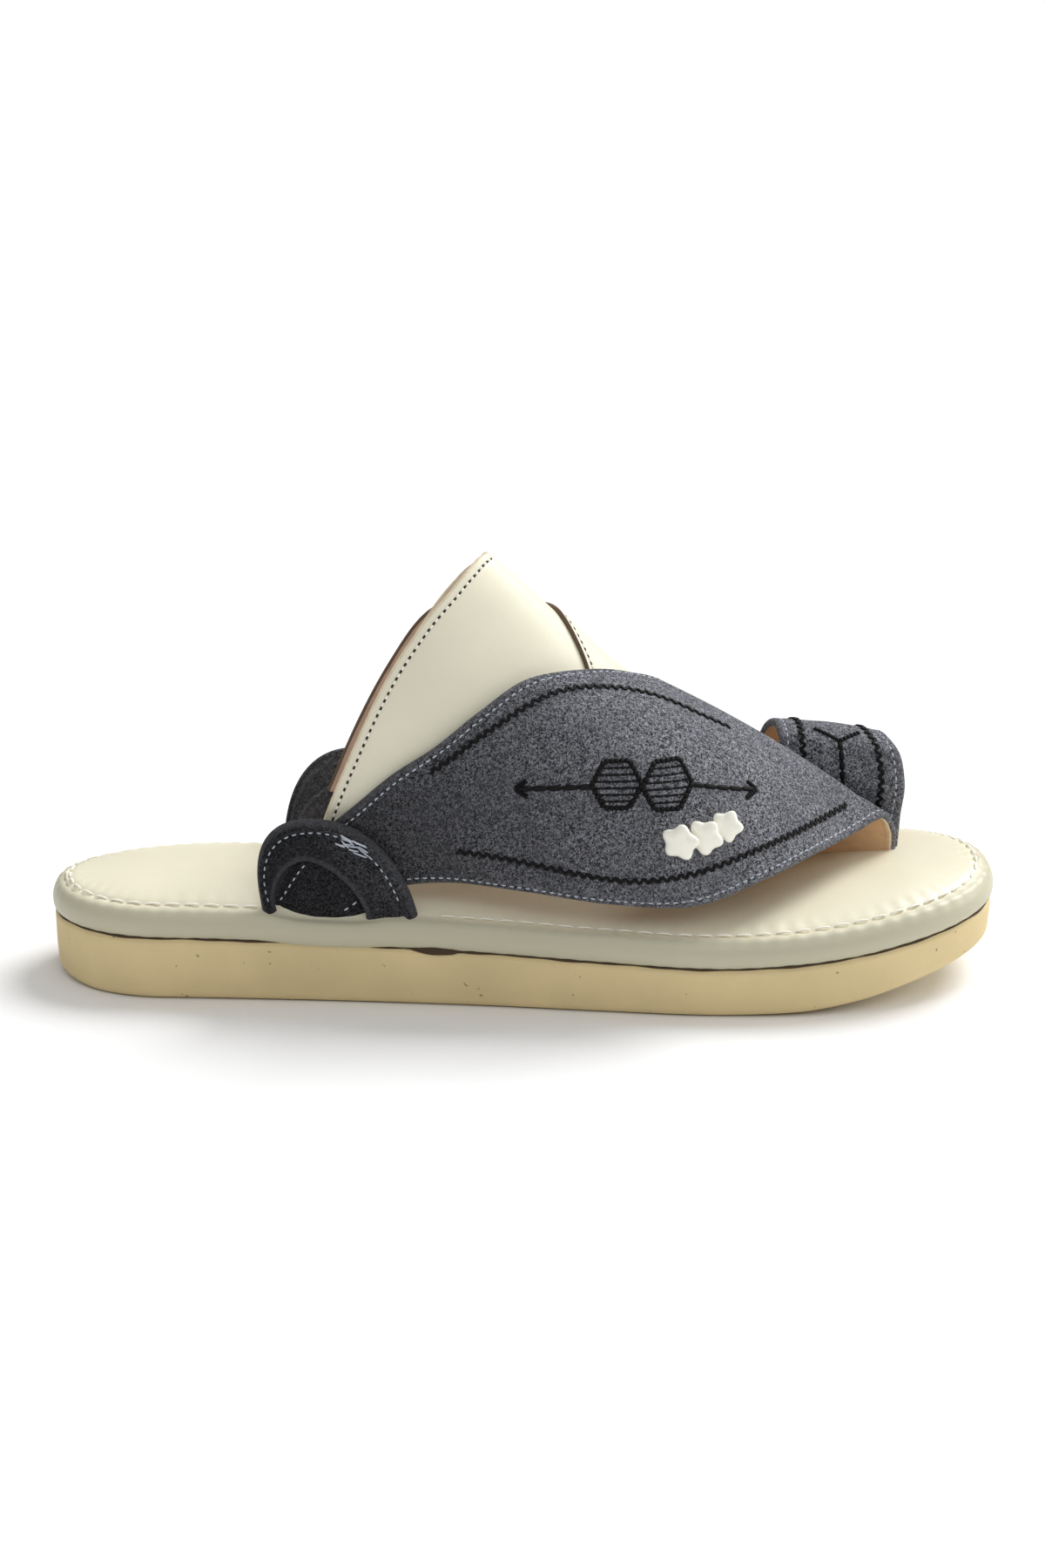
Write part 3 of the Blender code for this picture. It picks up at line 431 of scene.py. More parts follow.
# Strokes of the sewn figure on the outer wing, in side view: from one place to another in X and Z
Stroke = namedtuple("Stroke", "from_x from_z to_x to_z")
FIGURE_MIDDLE = (34.4, 69.2)
FIGURE = (
    Stroke(from_x=-36.0, from_z=-1.6, to_x=-14.2, to_z=-0.4),
    Stroke(from_x=-36.5, from_z=-1.6, to_x=-33.2, to_z=0.9),
    Stroke(from_x=-36.5, from_z=-1.6, to_x=-33.0, to_z=-3.8),
    Stroke(from_x=14.2, from_z=-1.2, to_x=33.2, to_z=-6.0),
    Stroke(from_x=33.8, from_z=-6.2, to_x=31.0, to_z=-3.6),
    Stroke(from_x=33.8, from_z=-6.2, to_x=30.6, to_z=-7.6),
)
# Two hatched lozenges on the rod: middles, half length, half height, sides and number of lines
LOZENGE_MIDDLES = ((-7.3, 0.0), (7.3, -0.8))
LOZENGE_REACH = 7.3
LOZENGE_RISE = 6.4
LOZENGE_SIDES = 6
LOZENGE_LINES = 6
# Forked stroke on the toe ring, by the two ends of each of its parts
RING_FIGURE = (
    Mark(along=0.22, across=0.50), Mark(along=0.40, across=0.50),
    Mark(along=0.45, across=0.27), Mark(along=0.40, across=0.50),
    Mark(along=0.44, across=0.70), Mark(along=0.40, across=0.50),
)

# Places given in side view: how many cuts a stroke gets, the Y beyond which a point is on the outer
# side, the miss given to all others, and the steps taken towards a place
FIGURE_CUTS = 6
RING_CUTS = 7
OUTER_Y = -8.0
NO_MATCH = 1e9
NEWTON_STEPS = 4

# Sockets of a colour Mix node: share, first colour, second colour and result
SHARE = 0
FIRST = 6
SECOND = 7
MIXED = 2

# Camera, lights and floor: distances in metres, the lens in millimetres
CAMERA_DISTANCE = 1.05
CAMERA_ELEVATION = math.radians(18.0)
CAMERA_AIM = 0.0566
CAMERA_LENS = 80.64
Lamp = namedtuple("Lamp", "name x y z size power")
LAMPS = (
    Lamp(name="front_softbox", x=0.30, y=-1.30, z=1.20, size=0.9, power=3.0),
    Lamp(name="toe_softbox", x=1.50, y=0.15, z=0.60, size=0.8, power=6.0),
)
SUN_FROM = (0.65, 0.60, 1.0)
SUN_SPREAD = math.radians(34.0)
SUN_POWER = 2.6
SKY_LOW = 0.20
SKY_HIGH = 0.72
SKY_COLOUR = "ffffff"
FLOOR_HALF = 8.0
FLOOR_COLOUR = "f2f2f2"


def linear(code):
    """Linear colour of an sRGB hex code."""
    value = np.array([int(code[i:i + 2], 16) for i in (0, 2, 4)]) / 255
    bent = np.where(value <= 0.04045, value / 12.92, ((value + 0.055) / 1.055) ** 2.4)
    return tuple(float(part) for part in bent)


def size(name, default, words):
    """A size in millimetres that the panel shows."""
    return FloatProperty(name=name, description=words, default=default, min=0.1, max=60.0)


def colour(name, code, words):
    """A colour that the panel shows, from its hex code."""
    return FloatVectorProperty(name=name, description=words, default=linear(code), size=3,
                               subtype="COLOR", min=0.0, max=1.0)


class SandalSizes(bpy.types.PropertyGroup):
    """Thicknesses and stitch pitches in millimetres."""

    suede: size("Suede", 2.4, "Thickness of the lined suede straps")
    strap: size("Strap", 1.6, "Thickness of the cream straps")
    ear: size("Ear", 2.6, "Thickness of the folded ears")
    rim_pitch: size("Rim pitch", 5.8, "Distance between stitch holes round the footbed")
    rim_inset: size("Rim inset", 5.2, "Distance of the footbed's stitch line from the outline")
    strap_pitch: size("Strap pitch", 2.4, "Distance between stitch holes on the cream straps")
    strap_inset: size("Strap inset", 1.9, "Distance of the cream straps' stitches from the edge")
    suede_pitch: size("Suede pitch", 2.4, "Distance between stitch holes on the suede")
    suede_inset: size("Suede inset", 1.5, "Distance of the suede's stitches from the edge")


class SandalColours(bpy.types.PropertyGroup):
    """Colours of leather, suede, foam and thread."""

    nap_dark: colour("Nap, dark", "1c1d21", "Suede between the raised fibres")
    nap: colour("Nap", "47484d", "Suede in general")
    nap_light: colour("Nap, light", "85868c", "Raised suede fibres")
    cream: colour("Cream leather", "e8e4cd", "Instep straps")
    footbed: colour("Footbed leather", "eae4cb", "Wrapped footbed")
    lining: colour("Lining", "d3ab82", "Inside of the suede straps")
    pink: colour("Strap lining", "d8bda8", "Inside of the cream straps")
    # Footbed rim colour: partly handling grime, partly painted shade that darkens the upright rim below the
    # lit top
    rim: colour("Footbed rim", "bfbba2", "Handled leather round the footbed's edge")
    # Cut edge colour: partly the raw edge's own brown, partly painted shade of the gap under the overlapping
    # strap's edge
    cut: colour("Cut edge", "6a5747", "Raw edge of the inner cream strap")
    fold: colour("Folded edge", "e2d3b8", "Turned edge of the tan lining and the outer cream strap")
    foam: colour("Foam", "dac697", "Moulded sole")
    pale_thread: colour("Pale thread", "c6ccd8", "Edge stitches on the suede")
    cream_thread: colour("Cream thread", "fdfaee", "Stitches on cream leather")
    black_thread: colour("Black thread", "070709", "Zigzag, sewn figure and the beads' sewing")
    # Painted shade: dark threads stand for the shade inside the needle holes
    hole_shade: colour("Stitch hole", "3a2f26", "Needle holes")
    glue: colour("Glue line", "4a3a2a", "Seam between footbed and sole")
    bead: colour("Bead", "fdfbee", "Star beads")


def column(rows, name):
    """The named column of a table as an array."""
    return np.array([getattr(row, name) for row in rows])


def unit(vectors):
    """Vectors of length one."""
    return vectors / np.linalg.norm(vectors, axis=-1)[..., None]


def bell(at, shape, power=2):
    """A bell's height, which falls off by the exponential of a power of the distance from its middle."""
    return shape.height * np.exp(-((at - shape.middle) / shape.reach) ** power)


def hermite(knots, values, slopes, at):
    """Cubic pieces through the values with the given slopes."""
    first = np.clip(np.searchsorted(knots, at, side="right") - 1, 0, len(knots) - 2)
    step = knots[first + 1] - knots[first]
    t = (at - knots[first]) / step
    if values.ndim > 1:
        t = t[:, None]
        step = step[:, None]
    start = (1 + 2 * t) * (1 - t) ** 2 * values[first] + t * (1 - t) ** 2 * step * slopes[first]
    end = t * t * (3 - 2 * t) * values[first + 1] + t * t * (t - 1) * step * slopes[first + 1]
    return start + end


def steady(knots, values, at):
    """Smooth curve through the values that never swings past them: slopes are harmonic means."""
    rise = np.diff(values) / np.diff(knots)
    slopes = np.zeros(len(values))
    same = rise[:-1] * rise[1:] > 0
    product = np.where(same, rise[:-1] * rise[1:], 0.0)
    total = np.where(same, rise[:-1] + rise[1:], 1.0)
    slopes[1:-1] = 2 * product / total
    slopes[0] = rise[0]
    slopes[-1] = rise[-1]
    return hermite(knots, values, slopes, np.asarray(at, float))


def curves(rows, names, knots, at):
    """Steady curves through the named columns of a table."""
    return [steady(knots, column(rows, name), at) for name in names]


def flowing(knots, points, at):
    """Smooth path through the points, each slope taken across the neighbours."""
    return hermite(knots, points, np.gradient(points, knots, axis=0), at)


def lengths(path):
    """Distance along a path at each of its points."""
    return np.concatenate([[0.0], np.cumsum(np.linalg.norm(np.diff(path, axis=0), axis=1))])


def widths(grid):
    """Distance across each row of a grid of points."""
    return np.linalg.norm(np.diff(grid, axis=1), axis=-1).sum(1)


def full_turn(count):
    """Angles of an even round of points."""
    return np.linspace(0.0, 2 * math.pi, count, endpoint=False)


def station(name, x):
    """A column of the sole's table at the given places along the length."""
    share = np.clip(np.asarray(x, float) / LENGTH + 0.5, 0.0, 1.0)
    return steady(column(STATIONS, "share"), column(STATIONS, name), share.ravel()).reshape(share.shape)


def rounding(x, side):
    """Share of the half width left where heel and toe round in, a quarter of a superellipse each."""
    x = np.asarray(x, float)
    heel = np.clip((HEEL_ROUND[side] - LENGTH / 2 - x) / HEEL_ROUND[side], 0.0, 1.0)
    toe = np.clip((x + TOE_ROUND[side] - LENGTH / 2) / TOE_ROUND[side], 0.0, 1.0)
    return (1 - heel ** HEEL_POWER) ** (1 / HEEL_POWER) * (1 - toe ** TOE_POWER) ** (1 / TOE_POWER)


def outline():
    """The plan outline, counted round from the heel along the outer side."""
    x = -LENGTH / 2 * np.cos(np.linspace(0.0, math.pi, OUTLINE_STATIONS + 1))
    lateral = np.stack([x, -station("lateral", x) * rounding(x, "lateral")], 1)
    medial = np.stack([x, station("medial", x) * rounding(x, "medial")], 1)
    return np.concatenate([lateral, medial[-2:0:-1]])


def inward(loop):
    """Normals of a closed plan loop that point to its inside."""
    along = unit(np.roll(loop, -1, 0) - np.roll(loop, 1, 0))
    return np.stack([-along[:, 1], along[:, 0]], 1)


def halves(rings):
    """Rings round the outline as two halves from heel to toe, outer side first."""
    count = rings.shape[1]
    outer = np.arange(count // 2 + 1)
    return rings[:, outer], rings[:, -outer % count]


def form(x, around):
    """The instep arch: two quarters of a superellipse that meet on the ridge."""
    flat = curves(INSTEP, ("ridge", "lateral", "medial"), column(INSTEP, "x"), np.ravel(x))
    ridge, lateral, medial = (one.reshape(np.shape(x)) for one in flat)
    base = np.where(around < 0, lateral, medial)
    angle = (1 - np.abs(around)) * math.pi / 2
    power = 2 / INSTEP_POWER
    y = RIDGE_Y + (base - RIDGE_Y) * np.clip(np.cos(angle), 0.0, 1.0) ** power
    z = INSTEP_FLOOR + (ridge - INSTEP_FLOOR) * np.sin(angle) ** power
    return np.stack([x, y, z], -1)


def form_normal(x, around):
    """Directions square to the instep arch."""
    forward = form(x + PROBE, around) - form(x - PROBE, around)
    over = form(x, around + PROBE) - form(x, around - PROBE)
    return unit(np.cross(forward, over))


def grid_normals(points):
    """Normals of a grid of points, square to its rows and columns."""
    return unit(np.cross(np.gradient(points, axis=1), np.gradient(points, axis=0)))


def grid_quads(rows, columns):
    """Corner numbers of the quads of a grid whose columns close on themselves."""
    i = np.arange(rows - 1)[:, None]
    j = np.arange(columns)[None]
    k = (j + 1) % columns
    corners = (i * columns + j, i * columns + k, (i + 1) * columns + k, (i + 1) * columns + j)
    return np.stack(corners, -1).reshape(-1, 4)


def packed_shares(count, pull):
    """Shares from 0 to 1 that lie closer together towards both ends."""
    even = np.linspace(0.0, 1.0, count)
    return even - pull * np.sin(2 * math.pi * even) / (2 * math.pi)


def placed(name, data):
    """A new object in the scene."""
    made = bpy.data.objects.new(name, data)
    bpy.context.scene.collection.objects.link(made)
    return made


def piece(name, points, faces, materials, pick=None, edge=None):
    """A smooth closed mesh from points in millimetres, doubles merged and faces turned outward."""
    mesh = bpy.data.meshes.new(name)
    mesh.from_pydata((points.reshape(-1, 3) * MM).tolist(), [], faces)
    for one in materials:
        mesh.materials.append(one)
    if pick is not None:
        mesh.polygons.foreach_set("material_index", np.asarray(pick, np.int32))
    if edge is not None:
        mesh.attributes.new("edge", "FLOAT", "POINT").data.foreach_set("value", edge.ravel())
    work = bmesh.new()
    work.from_mesh(mesh)
    bmesh.ops.remove_doubles(work, verts=work.verts, dist=MERGE)
    if work.calc_volume(signed=True) < 0:
        bmesh.ops.reverse_faces(work, faces=work.faces)
    work.to_mesh(mesh)
    work.free()
    mesh.shade_smooth()
    made = placed(name, mesh)
    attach(made, "root")
    return made


def grid_piece(name, grid, finish, edge=None):
    """A piece of one finish from a grid whose columns close on themselves."""
    return piece(name, grid, grid_quads(*grid.shape[:2]).tolist(), [finish], edge=edge)


Surface = namedtuple("Surface", "points normals along across width")


def crease_height(creases, surface):
    """Sum of soft bells, each stretched along its own lean."""
    length = lengths(surface.points[:, surface.points.shape[1] // 2])
    total = 0.0
    for crease in creases:
        p = (length - crease.along * length[-1])[:, None]
        q = (surface.across[None] - crease.across) * surface.width[:, None]
        main = (p * math.cos(crease.lean) + q * math.sin(crease.lean)) / crease.reach
        side = (q * math.cos(crease.lean) - p * math.sin(crease.lean)) / crease.width
        total = total + crease.height * np.exp(-main ** 2 - side ** 2)
    return total


def edge_distance(surface):
    """Distance of a surface's points from the nearer of its two edges."""
    return np.minimum(surface.across, 1 - surface.across)[None] * surface.width[:, None]


def shaped(surface, creases, inset):
    """The surface with its creases, a trough on the stitch line and a soft roll between it and the edge."""
    distance = edge_distance(surface)
    height = crease_height(creases, surface) + bell(distance - inset, EDGE_TROUGH)
    height = height + bell(distance - inset * ROLL_SHARE, EDGE_ROLL)
    return surface._replace(points=surface.points + surface.normals * height[..., None])


def rib_ends(ribs):
    """Lower and upper edge of every rib as points."""
    low = np.array([(rib.low_x, rib.low_y, rib.low_z) for rib in ribs])
    high = []
    for rib in ribs:
        if isinstance(rib, ArchRib):
            x = np.array(rib.edge_x)
            around = np.array(rib.around)
            high.append(form(x, around) + form_normal(x, around) * rib.layer)
        else:
            high.append((rib.high_x, rib.high_y, rib.high_z))
    return low, np.array(high)


def suede_surface(name, sizes):
    """A suede strap: ribs joined along by a flowing path, chords bulged outward by a half sine."""
    strap = SUEDE_STRAPS[name]
    low, high = rib_ends(strap.ribs)
    knots = lengths((low + high) / 2)
    along = np.linspace(0.0, 1.0, strap.rows)
    low = flowing(knots, low, along * knots[-1])[:, None]
    high = flowing(knots, high, along * knots[-1])[:, None]
    bulge = steady(knots, column(strap.ribs, "bulge"), along * knots[-1])[:, None, None]
    across = packed_shares(strap.columns, STRAP_PACKING)
    inset = sizes.suede / 2 / np.linalg.norm(high - low, axis=-1)
    share = (inset + (1 - 2 * inset) * across)[..., None]
    flat = low + (high - low) * share
    points = flat + strap.side * grid_normals(flat) * bulge * np.sin(math.pi * share)
    surface = Surface(points, strap.side * grid_normals(points), along, across, widths(points))
    return shaped(surface, strap.creases, sizes.suede_inset)


def cream_surface(name, sizes):
    """A cream strap: the instep arch between a rear and a front edge, raised by its own lift."""
    strap = CREAM_STRAPS[name]
    knots = column(strap.rows, "around")
    along = np.linspace(0.0, 1.0, STRAP_ROWS)
    around = knots[0] + (knots[-1] - knots[0]) * along
    edges = curves(strap.rows, ("rear", "front", "lift"), knots, around)
    rear, front, lift = (one[:, None] for one in edges)
    across = packed_shares(STRAP_COLUMNS, STRAP_PACKING)
    x = front + (rear - front) * across
    around = np.broadcast_to(around[:, None], x.shape)
    normals = form_normal(x, around)
    points = form(x, around) + normals * (lift + sizes.strap)[..., None]
    surface = Surface(points, normals, along, across, widths(points))
    return shaped(surface, strap.creases, sizes.strap_inset)


Band = namedtuple("Band", "points faces pick rubbed")


def band(surface, thickness):
    """Closed strap: across its outer face, half round its edge, back across its inner face and round again.

    Faces are picked as 1 on the inner face, 2 round the last edge and 0 elsewhere; rubbed is 1 on
    the edges and falls off by a bell on the outer face.
    """
    outer = surface.points
    inner = outer - surface.normals * thickness
    bend = np.linspace(0.0, math.pi, EDGE_BEND + 2)[1:-1, None]
    edges = []
    for last, next_in in ((-1, -2), (0, 1)):
        outward = unit(outer[:, last] - outer[:, next_in])[:, None]
        middle = ((outer[:, last] + inner[:, last]) / 2)[:, None]
        up = surface.normals[:, last][:, None]
        edges.append(middle + (up * np.cos(bend) + outward * np.sin(bend)) * thickness / 2)
    loops = np.concatenate([outer, edges[0], inner[:, ::-1], edges[1][:, ::-1]], 1)
    rows, count = loops.shape[:2]
    place = np.arange(count)
    wide = outer.shape[1]
    lining = (place >= wide + EDGE_BEND) & (place < 2 * wide + EDGE_BEND - 1)
    last_edge = (place >= wide - 1) & (place < wide + EDGE_BEND)
    faces = grid_quads(rows, count).tolist()
    faces += [list(range(count - 1, -1, -1)), list(range((rows - 1) * count, rows * count))]
    pick = np.concatenate([np.tile(lining + 2 * last_edge, rows - 1), [0, 0]])
    rubbed = np.ones((rows, count))
    rubbed[:, :wide] = bell(edge_distance(surface), EDGE_RUB)
    return Band(loops, faces, pick, rubbed)


def lined_faces(strap, share):
    """Which faces of a band are lined: its inner face, for a share of its length, and not its two ends."""
    rows, count = strap.points.shape[:2]
    within = np.repeat(np.arange(rows - 1) < share * rows, count)
    return (strap.pick == 1) & np.concatenate([within, [False, False]])


def locate(surface, along, across):
    """Points and normals at shares along and across a surface, between its grid points."""
    row = np.interp(along, surface.along, np.arange(len(surface.along)))
    place = np.interp(across, surface.across, np.arange(len(surface.across)))
    i = np.minimum(row.astype(int), len(surface.along) - 2)
    j = np.minimum(place.astype(int), len(surface.across) - 2)
    u = (row - i)[:, None]
    v = (place - j)[:, None]
    found = []
    for grid in (surface.points, surface.normals):
        near = grid[i, j] * (1 - v) + grid[i, j + 1] * v
        far = grid[i + 1, j] * (1 - v) + grid[i + 1, j + 1] * v
        found.append(near * (1 - u) + far * u)
    return found[0], unit(found[1])


def facing(surface, x, z):
    """Points and normals on the outer side of a surface at X and Z in side view, by Newton's steps."""
    grid = surface.points[None]
    miss = (grid[..., 0] - x[:, None, None]) ** 2 + (grid[..., 2] - z[:, None, None]) ** 2
    miss = np.where(grid[..., 1] < OUTER_Y, miss, NO_MATCH)
    i, j = np.unravel_index(miss.reshape(len(x), -1).argmin(1), surface.points.shape[:2])
    along = surface.along[i]
    across = surface.across[j]
    for _ in range(NEWTON_STEPS):
        here = locate(surface, along, across)[0]
        by_along = (locate(surface, along + PROBE, across)[0] - here) / PROBE
        by_across = (locate(surface, along, across + PROBE)[0] - here) / PROBE
        area = by_along[:, 0] * by_across[:, 2] - by_along[:, 2] * by_across[:, 0]
        dx = x - here[:, 0]
        dz = z - here[:, 2]
        along = along + (dx * by_across[:, 2] - dz * by_across[:, 0]) / area
        across = across + (dz * by_along[:, 0] - dx * by_along[:, 2]) / area
    return locate(surface, along, across)


def evenly(path, normals, step):
    """Points at even steps on a path, with their normals."""
    length = lengths(path)
    at = np.linspace(0.0, length[-1], max(2, int(length[-1] / step)) + 1)
    points = np.stack([np.interp(at, length, path[:, k]) for k in range(3)], 1)
    turned = np.stack([np.interp(at, length, normals[:, k]) for k in range(3)], 1)
    return points, unit(turned)


def edge_path(surface, inset, high, seam):
    """A path on a surface at an even distance from its lower or upper edge."""
    along = np.linspace(seam.start, seam.end, EDGE_POINTS)
    share = inset / np.interp(along, surface.along, surface.width)
    return locate(surface, along, 1 - share if high else share)


def both_edges(surface, inset, seam):
    """Paths beside the lower and the upper edge of a surface."""
    return [edge_path(surface, inset, high, seam) for high in (False, True)]


def marked_path(surface, marks):
    """A flowing path on a surface through marks given by shares."""
    knots = np.linspace(0.0, 1.0, len(marks))
    shares = flowing(knots, np.array(marks), np.linspace(0.0, 1.0, MARK_POINTS))
    return locate(surface, shares[:, 0], shares[:, 1])


Threads = namedtuple("Threads", "starts ends normals")


def stitches(path, normals, pitch, fill):
    """One thread between each pair of holes, covering the given share of the pitch."""
    points, turned = evenly(path, normals, pitch)
    gap = (points[1:] - points[:-1]) * (1 - fill) / 2
    return Threads(points[:-1] + gap, points[1:] - gap, unit(turned[1:] + turned[:-1]))


def edge_stitches(surface, inset, pitch, seam):
    """Runs of stitches beside the lower and the upper edge of a surface."""
    return [stitches(*path, pitch, seam.fill) for path in both_edges(surface, inset, seam)]


def hole_shades(run):
    """Short dark threads, painted shade of the needle holes, where one stitch ends and the next begins."""
    ends = run.ends[:-1]
    starts = run.starts[1:]
    middle = (ends + starts) / 2
    along = unit(starts - ends) * HOLE_SHADE_REACH / 2
    return Threads(middle - along, middle + along, run.normals[1:])


def zigzag(path, normals):
    """Threads that cross a path from side to side."""
    points, turned = evenly(path, normals, ZIGZAG_STEP)
    aside = unit(np.cross(turned, np.gradient(points, axis=0)))
    flip = np.where(np.arange(len(points)) % 2, ZIGZAG_SWING, -ZIGZAG_SWING)[:, None]
    points = points + aside * flip + turned * ZIGZAG_LIFT
    return Threads(points[:-1], points[1:], turned[:-1])


def cut_strokes(ends, count):
    """Places at even steps from the first to the second end of every stroke."""
    cuts = np.linspace(0.0, 1.0, count)[None, :, None]
    return ends[:, :1] + (ends[:, 1:] - ends[:, :1]) * cuts


def stroke_threads(spots, normals, count):
    """Threads between the neighbouring spots of every stroke of so many spots."""
    spots = spots.reshape(-1, count, 3)
    normals = normals.reshape(-1, count, 3)
    parts = (spots[:, :-1], spots[:, 1:], normals[:, :-1])
    return Threads(*(part.reshape(-1, 3) for part in parts))


def thread_piece(name, runs, yarn, finish):
    """Tubes that bow outward by a half sine and thin to the tip's share of their width at both ends."""
    run = Threads(*(np.concatenate(part) for part in zip(*runs)))
    along = np.array(THREAD_STATIONS)[None, :, None]
    girth = 1 - (1 - yarn.tip) * np.array(THREAD_TAPER)[None, :, None, None]
    reach = (run.ends - run.starts)[:, None]
    aside = unit(np.cross(run.normals, run.ends - run.starts))
    spine = run.starts[:, None] + reach * along
    spine = spine + run.normals[:, None] * yarn.bow * np.sin(math.pi * along)
    turn = full_turn(THREAD_SIDES)[None, :, None]
    ring = aside[:, None] * np.cos(turn) + run.normals[:, None] * np.sin(turn) * THREAD_FLATNESS
    points = spine[:, :, None] + girth * yarn.width / 2 * ring[:, None]
    count, stations, sides = points.shape[:3]
    base = (np.arange(count) * stations * sides)[:, None, None]
    faces = (base + grid_quads(stations, sides)[None]).reshape(-1, 4).tolist()
    caps = np.stack([np.arange(sides)[::-1], (stations - 1) * sides + np.arange(sides)])
    faces += (base + caps[None]).reshape(-1, sides).tolist()
    return piece(name, points, faces, [finish])


def add(tree, kind, settings=None, links=None):
    """One shader node with its settings, fed from the given sockets."""
    made = tree.nodes.new("ShaderNode" + kind)
    for name, value in (settings or {}).items():
        if isinstance(name, int) or name in made.inputs:
            made.inputs[name].default_value = value
        else:
            setattr(made, name, value)
    for name, source in (links or {}).items():
        tree.links.new(source, made.inputs[name])
    return made


def surface_tree(name, roughness, **sockets):
    """A new material, its node tree, its shader and its Object coordinates."""
    made = bpy.data.materials.new(name)
    made.use_nodes = True
    shader = made.node_tree.nodes["Principled BSDF"]
    shader.inputs["Roughness"].default_value = roughness
    for socket, value in sockets.items():
        shader.inputs[socket.replace("_", " ")].default_value = value
    place = add(made.node_tree, "TexCoord").outputs["Object"]
    return made, made.node_tree, shader, place


def feed(tree, shader, colour_source, bump=None):
    """Link the colour and, where there is one, the bump to the shader."""
    tree.links.new(colour_source, shader.inputs["Base Color"])
    if bump is not None:
        tree.links.new(bump.outputs[0], shader.inputs["Normal"])


def per_metre(millimetres):
    """Texture scale of a pattern whose features are this many millimetres across."""
    return 1.0 / (millimetres * MM)


def rgba(colour_value, share=1.0):
    """A colour with full alpha, scaled by a share."""
    return (*(part * share for part in colour_value), 1.0)


def suede_finish(colours):
    """Brushed split leather: matt, with pale raised fibres on dark nap and cloudy brush marks.

    Painted light and shade make it dark towards the heel, outer side and bottom and light towards the toe,
    inner side and top, and its edges are rubbed pale.
    Real fibres are too fine to show, so they are drawn 0.66 mm across.
    """
    made, tree, shader, place = surface_tree(
        "suede_brushed", 0.95, Sheen_Weight=0.06, Sheen_Roughness=0.45, Specular_IOR_Level=0.12)
    nap = add(tree, "TexNoise",
              {"Scale": per_metre(0.66), "Detail": 3.0, "Roughness": 0.55, "Distortion": 1.4},
              {"Vector": place})
    cloud = add(tree, "TexNoise", {"Scale": per_metre(16.0), "Detail": 3.0}, {"Vector": place})
    fibres = add(tree, "MapRange", {"From Min": 0.44, "From Max": 0.61}, {"Value": nap.outputs["Fac"]})
    brushed = add(tree, "MapRange", {"From Min": 0.3, "From Max": 0.7, "To Max": 0.35},
                  {"Value": cloud.outputs["Fac"]})
    speckle = add(tree, "Mix",
                  {"data_type": "RGBA", FIRST: rgba(colours.nap_dark), SECOND: rgba(colours.nap_light)},
                  {SHARE: fibres.outputs[0]})
    mixed = add(tree, "Mix", {"data_type": "RGBA", SECOND: rgba(colours.nap)},
                {SHARE: brushed.outputs[0], FIRST: speckle.outputs[MIXED]})
    # Painted light and shade: the colour is scaled from 0.24 to 1.84 towards the toe, the inner side and up
    toward_painted_light = add(tree, "VectorMath", {"operation": "DOT_PRODUCT", 1: (1.0, 0.8, 0.5)}, {0: place})
    painted_light_ramp = add(tree, "MapRange",
              {"From Min": -63 * MM, "From Max": 45 * MM, "To Min": 0.24, "To Max": 1.84},
              {"Value": toward_painted_light.outputs["Value"]})
    shaded = add(tree, "VectorMath", {"operation": "SCALE"},
                 {0: mixed.outputs[MIXED], "Scale": painted_light_ramp.outputs[0]})
    edge = add(tree, "Attribute", {"attribute_name": "edge"})
    rub = add(tree, "Math", {"operation": "MULTIPLY", 1: 0.24}, {0: edge.outputs["Fac"]})
    worn_and_shaded = add(tree, "Mix", {"data_type": "RGBA", SECOND: rgba(colours.nap_light, 0.7)},
               {SHARE: rub.outputs[0], FIRST: shaded.outputs[0]})
    bump = add(tree, "Bump", {"Strength": 1.0, "Distance": 0.8 * MM}, {"Height": nap.outputs["Fac"]})
    feed(tree, shader, worn_and_shaded.outputs[MIXED], bump)
    return made


def leather_finish(name, main, rim, roughness, grain):
    """Smooth finished leather: satin, with fine pressed grain and faint broad changes of tone."""
    made, tree, shader, place = surface_tree(name, roughness, Coat_Weight=0.08, Coat_Roughness=0.35)
    pebble = add(tree, "TexNoise", {"Scale": per_metre(grain), "Detail": 3.0}, {"Vector": place})
    broad = add(tree, "TexNoise", {"Scale": per_metre(34.0), "Detail": 3.0}, {"Vector": place})
    tone = add(tree, "MapRange", {"From Min": 0.32, "From Max": 0.68}, {"Value": broad.outputs["Fac"]})
    mixed = add(tree, "Mix", {"data_type": "RGBA", FIRST: rgba(main), SECOND: rgba(main, 0.93)},
                {SHARE: tone.outputs[0]})
    # Grime and painted shade: the edge attribute mixes in the darker rim colour round the footbed's upright
    # side
    edge = add(tree, "Attribute", {"attribute_name": "edge"})
    worn_and_shaded = add(tree, "Mix", {"data_type": "RGBA", SECOND: rgba(rim)},
               {SHARE: edge.outputs["Fac"], FIRST: mixed.outputs[MIXED]})
    bump = add(tree, "Bump", {"Strength": 0.5, "Distance": 0.08 * MM}, {"Height": pebble.outputs["Fac"]})
    feed(tree, shader, worn_and_shaded.outputs[MIXED], bump)
    return made


